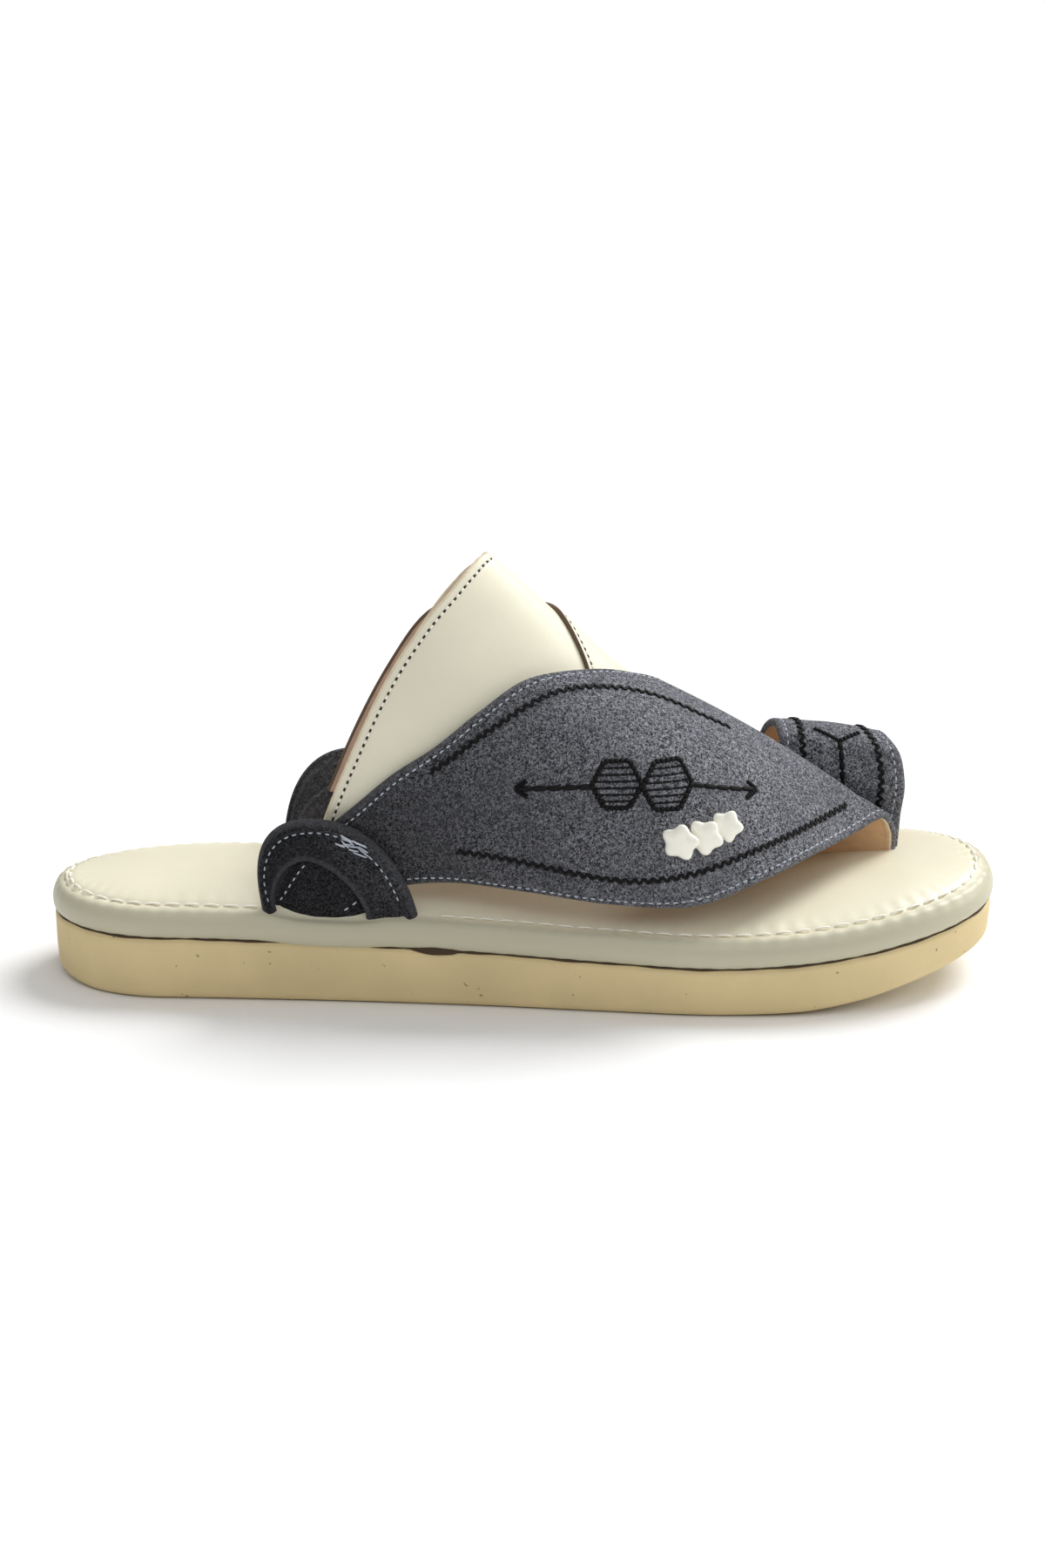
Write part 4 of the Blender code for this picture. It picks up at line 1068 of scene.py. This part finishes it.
def lining_finish(name, main):
    """Thin unfinished lining leather: matt, wrinkled and mottled."""
    made, tree, shader, place = surface_tree(name, 0.7, Specular_IOR_Level=0.25)
    slant = add(tree, "Mapping", {"Rotation": (0.0, math.radians(40.0), 0.0), "Scale": (0.3, 1.0, 1.0)},
                {"Vector": place})
    wrinkle = add(tree, "TexNoise", {"Scale": per_metre(3.4), "Detail": 4.0, "Distortion": 0.5},
                  {"Vector": slant.outputs[0]})
    tone = add(tree, "MapRange", {"From Min": 0.3, "From Max": 0.7}, {"Value": wrinkle.outputs["Fac"]})
    mixed = add(tree, "Mix", {"data_type": "RGBA", FIRST: rgba(main, 0.86), SECOND: rgba(main, 1.06)},
                {SHARE: tone.outputs[0]})
    bump = add(tree, "Bump", {"Strength": 0.6, "Distance": 0.5 * MM}, {"Height": wrinkle.outputs["Fac"]})
    feed(tree, shader, mixed.outputs[MIXED], bump)
    return made


def foam_finish(colours):
    """Moulded foam: matt, faintly pitted, with cloudy tone and a few dark specks."""
    made, tree, shader, place = surface_tree("foam_moulded", 0.72, Specular_IOR_Level=0.3)
    pit = add(tree, "TexNoise", {"Scale": per_metre(1.1), "Detail": 3.0}, {"Vector": place})
    broad = add(tree, "TexNoise", {"Scale": per_metre(22.0), "Detail": 4.0}, {"Vector": place})
    speck = add(tree, "TexNoise", {"Scale": per_metre(2.2), "Detail": 1.0}, {"Vector": place})
    tone = add(tree, "MapRange", {"From Min": 0.3, "From Max": 0.7}, {"Value": broad.outputs["Fac"]})
    dirt = add(tree, "MapRange", {"From Min": 0.76, "From Max": 0.80, "To Max": 0.6},
               {"Value": speck.outputs["Fac"]})
    mixed = add(tree, "Mix",
                {"data_type": "RGBA", FIRST: rgba(colours.foam, 0.94), SECOND: rgba(colours.foam, 1.05)},
                {SHARE: tone.outputs[0]})
    marked = add(tree, "Mix", {"data_type": "RGBA", SECOND: rgba(colours.glue)},
                 {SHARE: dirt.outputs[0], FIRST: mixed.outputs[MIXED]})
    bump = add(tree, "Bump", {"Strength": 0.35, "Distance": 0.15 * MM}, {"Height": pit.outputs["Fac"]})
    feed(tree, shader, marked.outputs[MIXED], bump)
    return made


def thread_finish(name, main):
    """Spun polyester thread: soft sheen with darker plies, drawn coarse enough to show.

    Dried glue, the painted shade of needle holes and the cord in the lining's fold take it too.
    """
    made, tree, shader, place = surface_tree(name, 0.6, Specular_IOR_Level=0.2)
    ply = add(tree, "TexNoise", {"Scale": per_metre(0.7), "Detail": 2.0}, {"Vector": place})
    mixed = add(tree, "Mix", {"data_type": "RGBA", FIRST: rgba(main, 0.85), SECOND: rgba(main)},
                {SHARE: ply.outputs["Fac"]})
    feed(tree, shader, mixed.outputs[MIXED])
    return made


def bead_finish(colours):
    """Polished moulded resin: glossy ivory with a clear coat and faint clouding."""
    made, tree, shader, place = surface_tree("resin_polished", 0.3, Coat_Weight=0.5, Coat_Roughness=0.12)
    cloud = add(tree, "TexNoise", {"Scale": per_metre(5.0)}, {"Vector": place})
    mixed = add(tree, "Mix",
                {"data_type": "RGBA", FIRST: rgba(colours.bead, 0.9), SECOND: rgba(colours.bead)},
                {SHARE: cloud.outputs["Fac"]})
    feed(tree, shader, mixed.outputs[MIXED])
    return made


def build_sole(colours):
    """Sole: wall rings on a steady profile, halves joined straight across above and below."""
    loop = outline()
    knots = np.arange(len(SOLE_RINGS), dtype=float)
    places = np.linspace(0.0, knots[-1], SOLE_RIM)
    inset, share, rise = (one[:, None] for one in curves(SOLE_RINGS, SoleRing._fields, knots, places))
    plan = loop[None] + inward(loop)[None] * inset[..., None]
    low = station("ground", plan[..., 0])
    height = low + share * (station("seam", plan[..., 0]) - low) + rise
    lateral, medial = halves(np.concatenate([plan, height[..., None]], -1))
    sections = np.concatenate([lateral, medial[::-1]]).transpose(1, 0, 2)
    made = grid_piece("sole_foam", sections, foam_finish(colours))
    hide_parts("sole")


def build_glue(colours):
    """Glue line: a tube round the seam whose girth wanders by sines, swollen at one chipped place."""
    loop = outline()
    arc = lengths(loop)
    into = inward(loop)
    plan = loop + into * GLUE_INSET
    chip = bell(loop[:, 0], CHIP, CHIP_POWER) * (loop[:, 1] < 0)
    ragged = sum(wave.height * np.sin(arc / wave.length + wave.start) for wave in GLUE_WAVES)
    girth = GLUE_GIRTH + ragged + chip * (CHIP_GIRTH + CHIP_WAVES * ragged)
    turn = full_turn(GLUE_SIDES)[None, :, None]
    centre = np.column_stack([plan, station("seam", plan[:, 0]) + GLUE_RISE])[:, None]
    outward = np.column_stack([-into, np.zeros(len(loop))])[:, None]
    ring = outward * np.cos(turn) + np.array([0.0, 0.0, 1.0]) * np.sin(turn)
    tube = centre + ring * girth[:, None, None]
    tube = np.concatenate([tube, tube[:1]])
    grid_piece("glue_line", tube, thread_finish("glue_dried", colours.glue))


def rim_height(distance, arc, sizes):
    """Relief round the footbed: a trough on the stitch line, puffs between its holes and puckers inside it.

    Each is a bell across the rim times a wave along it.
    """
    wave = np.cos(2 * math.pi * arc / sizes.rim_pitch)
    slow, quick = (np.sin(arc / length) for length in PUCKER_WAVES)
    trough = bell(distance - sizes.rim_inset, RIM_TROUGH) * (1 - TROUGH_SWAY + TROUGH_SWAY * wave)
    puff = bell(distance, RIM_PUFF) * (1 - wave) / 2
    pucker = bell(distance, RIM_PUCKER) * wave * (1 - PUCKER_SWAY + PUCKER_SWAY * slow * quick)
    return trough + puff + pucker


def calm(x):
    """Share of the rim's relief that is left along the foot: little beside the ears."""
    return 1 - bell(x, EARS_CALM, FLAT_POWER)


def pressed(x, distance):
    """Depth by which the ears press the rim down: a flat bell along the foot times one across the rim."""
    return bell(x, EARS_PRESS, FLAT_POWER) * bell(distance, PRESS_ACROSS)


def footbed_rim(loop, arc, sizes):
    """Wrapped rim: a flowing profile carried round the outline, with the relief along its normals."""
    knots = np.arange(len(FOOTBED_RINGS), dtype=float)
    profile = flowing(knots, np.array(FOOTBED_RINGS), np.linspace(0.0, knots[-1], FOOTBED_RIM))
    lean = unit(np.gradient(profile, axis=0))
    inset = profile[:, :1]
    height = rim_height(inset, arc[None], sizes) * calm(loop[None, :, 0])
    plan = loop[None] + inward(loop)[None] * (inset - height * lean[:, 1:])[..., None]
    rise = station("seam", plan[..., 0]) + profile[:, 1:] + height * lean[:, :1]
    rise = rise + pressed(plan[..., 0], inset)
    return profile, np.concatenate([plan, rise[..., None]], -1)


def footbed_top(loop, arc, crest, sizes):
    """Top, and its distance from the outline: chords between crests, swollen by a flat arch, with relief."""
    across = packed_shares(FOOTBED_COLUMNS, FOOTBED_PACKING)[1:-1]
    ring = loop + inward(loop) * crest[0]
    near, far = halves(np.column_stack([ring, station("seam", ring[:, 0]) + crest[1]])[None])
    top = near[0][:, None] + (far[0] - near[0])[:, None] * across[None, :, None]
    fade = (rounding(top[..., 0], "lateral") + rounding(top[..., 0], "medial")) / 2
    swell = station("swell", top[..., 0]) * fade * (1 - np.abs(2 * across - 1) ** SWELL_POWER)
    flat = top[..., :2].reshape(-1, 2)
    square = (flat ** 2).sum(1)[:, None] + (loop ** 2).sum(1)[None] - 2 * flat @ loop.T
    distance = np.sqrt(np.maximum(square.min(1), 0.0)).reshape(top.shape[:2])
    beside = arc[square.argmin(1)].reshape(distance.shape)
    relief = rim_height(distance, beside, sizes) * calm(top[..., 0])
    top[..., 2] += swell + relief + pressed(top[..., 0], distance)
    return top, distance


def footbed_stitches(loop, top, sizes):
    """Stitches on the top at an even distance from the outline, left out under the ears."""
    line = loop + inward(loop) * sizes.rim_inset
    flat = top.reshape(-1, 3)
    close = ((line[:, None] - flat[None, :, :2]) ** 2).sum(-1).argmin(1)
    path = np.column_stack([line, flat[close, 2] + FOOTBED_STITCH_RISE])
    path = np.concatenate([path, path[:1]])
    upright = np.tile([0.0, 0.0, 1.0], (len(path), 1))
    run = stitches(path, upright, sizes.rim_pitch, FOOTBED_FILL)
    shown = np.abs(run.starts[:, 0] - EARS_MIDDLE) > EAR_COVER
    return Threads(*(part[shown] for part in run))


def build_footbed(sizes, colours):
    """Footbed: sections from edge to edge through rim, top and rim, and the stitches on it."""
    loop = outline()
    arc = lengths(loop)
    profile, rim = footbed_rim(loop, arc, sizes)
    top, distance = footbed_top(loop, arc, profile[-1], sizes)
    lateral, medial = (half.transpose(1, 0, 2) for half in halves(rim))
    sections = np.concatenate([lateral, top, medial[:, ::-1]], 1)
    inset = np.repeat(profile[None, :, 0], len(top), 0)
    reach = np.concatenate([inset, distance, inset[:, ::-1]], 1)
    # Share of the darker rim colour near the outline, partly grime and partly painted shade
    edge = np.clip((GRIME_AND_SHADE_END - reach) / GRIME_AND_SHADE_FADE, 0.0, 1.0)
    leather = leather_finish("leather_wrapped", colours.footbed, colours.rim, 0.42, 0.9)
    made = grid_piece("footbed_leather", sections, leather, edge)
    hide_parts("footbed")
    thread = thread_finish("thread_waxed_cream", colours.cream_thread)
    run = footbed_stitches(loop, top, sizes)
    thread_piece("footbed_stitches", [run], FOOTBED_YARN, thread)


def figure_lines():
    """The figure's strokes: a rod with arrow ends and the sides of two six-sided lozenges."""
    strokes = list(FIGURE)
    turn = np.linspace(0.0, 2 * math.pi, LOZENGE_SIDES + 1)
    for middle, drop in LOZENGE_MIDDLES:
        x = middle + LOZENGE_REACH * np.cos(turn)
        z = drop + LOZENGE_RISE * np.sin(turn) / math.sin(turn[1])
        strokes += list(zip(x[:-1], z[:-1], x[1:], z[1:]))
    return strokes


def figure_hatching():
    """Level lines across each lozenge, as wide as its sides leave."""
    strokes = []
    level = np.linspace(-1.0, 1.0, LOZENGE_LINES + 2)[1:-1] * LOZENGE_RISE
    reach = LOZENGE_REACH * (1 - 0.5 * np.abs(level) / LOZENGE_RISE)
    for middle, drop in LOZENGE_MIDDLES:
        strokes += list(zip(middle - reach, level + drop, middle + reach, level + drop))
    return strokes


def figure_threads(wing, strokes):
    """Threads of the figure, each stroke cut short enough to follow the wing."""
    places = cut_strokes(np.array(strokes).reshape(-1, 2, 2), FIGURE_CUTS) + np.array(FIGURE_MIDDLE)
    spots, normals = facing(wing, places[..., 0].ravel(), places[..., 1].ravel())
    return stroke_threads(spots, normals, FIGURE_CUTS)


def ring_threads(ring):
    """Threads of the forked stroke on the toe ring."""
    shares = cut_strokes(np.array(RING_FIGURE).reshape(-1, 2, 2), RING_CUTS)
    spots, normals = locate(ring, shares[..., 0].ravel(), shares[..., 1].ravel())
    return stroke_threads(spots, normals, RING_CUTS)


def build_upper(sizes, colours):
    """Both wings and the toe ring with their edge stitches, zigzag rows and sewn figures."""
    suede = suede_finish(colours)
    lining = lining_finish("lining_tan", colours.lining)
    surfaces = {name: suede_surface(name, sizes) for name in SUEDE_STRAPS}
    for name, surface in surfaces.items():
        strap = band(surface, sizes.suede)
        pick = lined_faces(strap, SUEDE_STRAPS[name].lined)
        made = piece(name, strap.points, strap.faces, [suede, lining], pick, strap.rubbed)
        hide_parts("upper")
    lateral, medial, ring = surfaces.values()
    pale = thread_finish("thread_pale", colours.pale_thread)
    black = thread_finish("thread_black", colours.black_thread)
    sewn = []
    for surface, seam in ((lateral, WING_SEAM), (medial, WING_SEAM), (ring, RING_SEAM)):
        sewn += edge_stitches(surface, sizes.suede_inset, sizes.suede_pitch, seam)
    thread_piece("suede_stitches", sewn, SUEDE_YARN, pale)
    rows = [marked_path(lateral, marks) for marks in (UPPER_ZIGZAG, LOWER_ZIGZAG)]
    rows.append(marked_path(medial, UPPER_ZIGZAG[:INNER_UPPER_MARKS]))
    rows.append(marked_path(medial, LOWER_ZIGZAG[:INNER_LOWER_MARKS]))
    rows += both_edges(ring, RING_MARK_INSET, RING_ZIGZAG)
    thread_piece("zigzag_rows", [zigzag(*path) for path in rows], ZIGZAG_YARN, black)
    bold = [figure_threads(lateral, figure_lines()), ring_threads(ring)]
    thread_piece("sewn_figure", bold, FIGURE_YARN, black)
    fine = [figure_threads(lateral, figure_hatching())]
    thread_piece("sewn_hatching", fine, HATCHING_YARN, black)
    points, normals = edge_path(lateral, LINING_INSET, False, LINING_SEAM)
    cord = stitches(points - normals * sizes.suede, -normals, LINING_PITCH, LINING_SEAM.fill)
    fold = thread_finish("lining_fold", colours.fold)
    thread_piece("lining_edge", [cord], LINING_YARN, fold)


def build_straps(sizes, colours):
    """Crossed cream straps with cream stitches and dark threads painted as shade in the needle holes."""
    cream = leather_finish("leather_smooth_cream", colours.cream, colours.cream, 0.4, 0.7)
    pink = lining_finish("lining_pink", colours.pink)
    # The inner strap's edge is dark partly as raw leather and partly as painted shade of the gap beneath it
    edging = {
        "strap_lateral": lining_finish("leather_folded_edge", colours.fold),
        "strap_medial": lining_finish("leather_cut_edge", colours.cut),
    }
    sewn = []
    for name in CREAM_STRAPS:
        surface = cream_surface(name, sizes)
        strap = band(surface, sizes.strap)
        finishes = [cream, pink, edging[name]]
        made = piece(name, strap.points, strap.faces, finishes, strap.pick)
        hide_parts("instep_straps")
        sewn += edge_stitches(surface, sizes.strap_inset, sizes.strap_pitch, STRAP_SEAM)
    thread = thread_finish("thread_cream", colours.cream_thread)
    dark = thread_finish("needle_hole", colours.hole_shade)
    thread_piece("strap_stitches", sewn, STRAP_YARN, thread)
    thread_piece("strap_holes", [hole_shades(run) for run in sewn], HOLE_SHADE_YARN, dark)


def ear_arch(middle, half, height, power, lean):
    """Half a superellipse from front foot to rear foot, leaning to the heel, with straight roots."""
    turn = np.linspace(0.0, math.pi, EAR_ROWS)
    reach = np.sign(np.cos(turn)) * np.abs(np.cos(turn)) ** (2 / power)
    rise = height * np.abs(np.sin(turn)) ** (2 / power)
    arch = np.stack([middle + half * reach - lean * rise, EAR_BASE + rise], 1)
    return np.concatenate([[[arch[0, 0], EAR_ROOT]], arch, [[arch[-1, 0], EAR_ROOT]]])


def ear_surface(ear, outward):
    """Half-round ear: a superellipse arch from its opening out to its rim, with a rolled edge."""
    rear = np.array([ear.rear_x, ear.rear_y])
    front = np.array([ear.front_x, ear.front_y])
    width = np.linalg.norm(front - rear)
    forward = (front - rear) / width
    outside = -np.array([forward[1], -forward[0], 0.0]) * outward
    rim = ear_arch(width / 2, width / 2, ear.height, EAR_POWER, ear.lean)
    opening = ear_arch(width * OPENING_SHARE, OPENING_HALF, OPENING_HEIGHT, OPENING_POWER, ear.lean)
    across = packed_shares(EAR_COLUMNS, EAR_PACKING)
    flat = opening[:, None] + (rim - opening)[:, None] * across[None, :, None]
    gap = np.linalg.norm(rim - opening, axis=1)
    distance = (1 - across[None]) * gap[:, None]
    height = bell(distance, EAR_ROLL) + bell(distance, EAR_TROUGH)
    plan = rear + forward * flat[..., :1] + outside[:2] * height[..., None]
    points = np.concatenate([plan, flat[..., 1:]], -1)
    along = np.linspace(0.0, 1.0, len(flat))
    return Surface(points, np.broadcast_to(outside, points.shape), along, across, gap)


def frayed_knot(surface):
    """Loose strands near the ear's crown: short threads thrown about with a fixed seed."""
    chance = np.random.default_rng(KNOT_SEED)
    along, across, back, aside = (
        draw.least + draw.spread * chance.random(KNOT_STRANDS) for draw in KNOT_DRAWS
    )
    starts, normals = locate(surface, along, across)
    ends = locate(surface, along - back, across + aside)[0]
    return Threads(starts + normals * KNOT_LIFT, ends + normals * KNOT_LIFT, normals)


def build_ears(sizes):
    """Both ears with pale stitches inside the rolled edge, and a frayed knot on the outer one."""
    suede = bpy.data.materials["suede_brushed"]
    pale = bpy.data.materials["thread_pale"]
    sewn = []
    for name, ear, outward in (("ear_lateral", LATERAL_EAR, -1), ("ear_medial", MEDIAL_EAR, 1)):
        surface = ear_surface(ear, outward)
        loop = band(surface, sizes.ear)
        made = piece(name + "_suede", loop.points, loop.faces, [suede], edge=loop.rubbed)
        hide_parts(name)
        path = edge_path(surface, EAR_STITCH_INSET, True, EAR_SEAM)
        sewn.append(stitches(*path, sizes.suede_pitch, EAR_SEAM.fill))
        if outward < 0:
            sewn.append(frayed_knot(surface))
    tail = suede_surface("wing_lateral", sizes)
    for marks in TAIL_STITCHES:
        sewn.append(stitches(*facing(tail, *np.array(marks).T), sizes.suede_pitch, TAIL_FILL))
    thread_piece("ear_stitches", sewn, EAR_YARN, pale)


def build_beads(sizes, colours):
    """Plump stars: rings of a five-lobed outline on a rounded profile, each leaning over the one in front."""
    wing = suede_surface("wing_lateral", sizes)
    resin = bead_finish(colours)
    turn = full_turn(BEAD_SIDES)
    lift = np.linspace(-math.pi / 2, math.pi / 2, BEAD_RINGS)
    reach = np.cos(lift) ** STAR_ROUND
    height = (1 + np.sin(lift)) / 2 * BEAD_THICKNESS
    shanks = []
    for bead in BEADS:
        along = np.array([bead.along, bead.along - PROBE]) ** BEAD_EASE
        spots, normals = locate(wing, along, np.array([bead.across, bead.across]))
        out = normals[0]
        forward = spots[1] - spots[0]
        forward = unit(forward - out * np.dot(forward, out))
        upward = np.cross(out, forward)
        lengthwise = forward * math.cos(BEAD_LEAN) + out * math.sin(BEAD_LEAN)
        axis = out * math.cos(BEAD_LEAN) - forward * math.sin(BEAD_LEAN)
        star = np.cos(turn)[:, None] * lengthwise + np.sin(turn)[:, None] * upward
        lobes = bead.radius * (STAR_GIRTH + STAR_LOBE * np.cos(BEAD_POINTS * (turn + bead.turn)))
        drop = bead.radius * (1 + BEAD_LOBE) * math.sin(BEAD_LEAN)
        foot = spots[0] + out * (BEAD_CLEARANCE + drop)
        rings = star[None] * (lobes[None] * reach[:, None])[..., None]
        made = grid_piece(bead.name + "_star", foot + rings + axis * height[:, None, None], resin)
        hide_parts(bead.name)
        beside = upward * np.array([-SHANK_HALF, SHANK_HALF])[:, None]
        into = foot + axis * BEAD_THICKNESS / 2
        shanks.append(Threads(spots[:1] + beside, into + beside, np.stack([upward, upward])))
    black = thread_finish("thread_bead", colours.black_thread)
    thread_piece("bead_shanks", shanks, SHANK_YARN, black)


def lay_floor():
    """Pale matt floor, one wide square."""
    half = FLOOR_HALF
    mesh = bpy.data.meshes.new("floor")
    corners = [(-half, -half, 0.0), (half, -half, 0.0), (half, half, 0.0), (-half, half, 0.0)]
    mesh.from_pydata(corners, [], [(0, 1, 2, 3)])
    paint, _, shader, _ = surface_tree("floor_paint", 0.8, Specular_IOR_Level=0.1)
    shader.inputs["Base Color"].default_value = rgba(linear(FLOOR_COLOUR))
    mesh.materials.append(paint)
    floor = placed("floor", mesh)


def hang_lights():
    """White sky that brightens upward, one soft sun, and softboxes aimed at the origin."""
    world = bpy.data.worlds.new("studio")
    world.use_nodes = True
    tree = world.node_tree
    sky = tree.nodes["Background"]
    sky.inputs["Color"].default_value = rgba(linear(SKY_COLOUR))
    way = add(tree, "TexCoord")
    parts = add(tree, "SeparateXYZ", links={"Vector": way.outputs["Generated"]})
    grade = add(tree, "MapRange", {"To Min": SKY_LOW, "To Max": SKY_HIGH}, {"Value": parts.outputs["Z"]})
    tree.links.new(grade.outputs[0], sky.inputs["Strength"])
    bpy.context.scene.world = world
    sun = bpy.data.lights.new("soft_sun", "SUN")
    sun.energy = SUN_POWER
    sun.angle = SUN_SPREAD
    placed("soft_sun", sun).rotation_euler = Vector(SUN_FROM).to_track_quat("Z", "Y").to_euler()
    for lamp in LAMPS:
        light = bpy.data.lights.new(lamp.name, "AREA")
        light.shape = "DISK"
        light.size = lamp.size
        light.energy = lamp.power
        made = placed(lamp.name, light)
        made.location = (lamp.x, lamp.y, lamp.z)
        made.rotation_euler = (-made.location).to_track_quat("-Z", "Y").to_euler()


def place_camera():
    """Camera at the photograph's angle, straight before the outer side."""
    lens = bpy.data.cameras.new("camera")
    lens.lens = CAMERA_LENS
    camera = placed("camera", lens)
    back = CAMERA_DISTANCE * math.cos(CAMERA_ELEVATION)
    camera.location = (0.0, -back, CAMERA_AIM + CAMERA_DISTANCE * math.sin(CAMERA_ELEVATION))
    camera.rotation_euler = (math.pi / 2 - CAMERA_ELEVATION, 0.0, 0.0)
    bpy.context.scene.camera = camera
    bpy.context.scene.view_settings.view_transform = "Standard"


class SandalStage(bpy.types.Operator):
    """Make the floor, lights and camera"""

    bl_idname = "sandal.stage"
    bl_label = "Stage"

    def execute(self, context):
        lay_floor()
        hang_lights()
        place_camera()
        return {"FINISHED"}


class SandalSole(bpy.types.Operator):
    """Make the foam sole and the glue line above it"""

    bl_idname = "sandal.sole"
    bl_label = "Sole"

    def execute(self, context):
        build_sole(context.scene.sandal_colours)
        build_glue(context.scene.sandal_colours)
        return {"FINISHED"}


class SandalFootbed(bpy.types.Operator):
    """Make the wrapped footbed and its stitches"""

    bl_idname = "sandal.footbed"
    bl_label = "Footbed"

    def execute(self, context):
        build_footbed(context.scene.sandal_sizes, context.scene.sandal_colours)
        return {"FINISHED"}


class SandalUpper(bpy.types.Operator):
    """Make the suede wings, the toe ring and their sewing"""

    bl_idname = "sandal.upper"
    bl_label = "Upper"

    def execute(self, context):
        build_upper(context.scene.sandal_sizes, context.scene.sandal_colours)
        return {"FINISHED"}


class SandalStraps(bpy.types.Operator):
    """Make the cream instep straps"""

    bl_idname = "sandal.straps"
    bl_label = "Instep straps"

    def execute(self, context):
        build_straps(context.scene.sandal_sizes, context.scene.sandal_colours)
        return {"FINISHED"}


class SandalEars(bpy.types.Operator):
    """Make the suede ears"""

    bl_idname = "sandal.ears"
    bl_label = "Ears"

    def execute(self, context):
        build_ears(context.scene.sandal_sizes)
        return {"FINISHED"}


class SandalBeads(bpy.types.Operator):
    """Make the star beads"""

    bl_idname = "sandal.beads"
    bl_label = "Beads"

    def execute(self, context):
        build_beads(context.scene.sandal_sizes, context.scene.sandal_colours)
        return {"FINISHED"}


class SandalPanel(bpy.types.Panel):
    """Sizes, colours and makers of the sandal"""

    bl_idname = "VIEW3D_PT_sandal"
    bl_label = "Arabic sandal"
    bl_space_type = "VIEW_3D"
    bl_region_type = "UI"
    bl_category = "Sandal"

    def draw(self, context):
        for group in (context.scene.sandal_sizes, context.scene.sandal_colours):
            box = self.layout.box()
            for name in group.__annotations__:
                box.prop(group, name)
        for maker in MAKERS:
            self.layout.operator(maker.bl_idname)


MAKERS = (SandalStage, SandalSole, SandalFootbed, SandalUpper, SandalStraps, SandalEars, SandalBeads)
CLASSES = (SandalSizes, SandalColours) + MAKERS + (SandalPanel,)


def register():
    """Add the classes and the scene's sizes and colours."""
    for one in CLASSES:
        bpy.utils.register_class(one)
    bpy.types.Scene.sandal_sizes = PointerProperty(type=SandalSizes)
    bpy.types.Scene.sandal_colours = PointerProperty(type=SandalColours)


def unregister():
    """Take them away again."""
    del bpy.types.Scene.sandal_colours
    del bpy.types.Scene.sandal_sizes
    for one in reversed(CLASSES):
        bpy.utils.unregister_class(one)


def main():
    """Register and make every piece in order."""
    register()
    bpy.ops.sandal.stage()
    bpy.ops.sandal.sole()
    bpy.ops.sandal.footbed()
    bpy.ops.sandal.upper()
    bpy.ops.sandal.straps()
    bpy.ops.sandal.ears()
    bpy.ops.sandal.beads()
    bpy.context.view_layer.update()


if __name__ == "__main__":
    main()
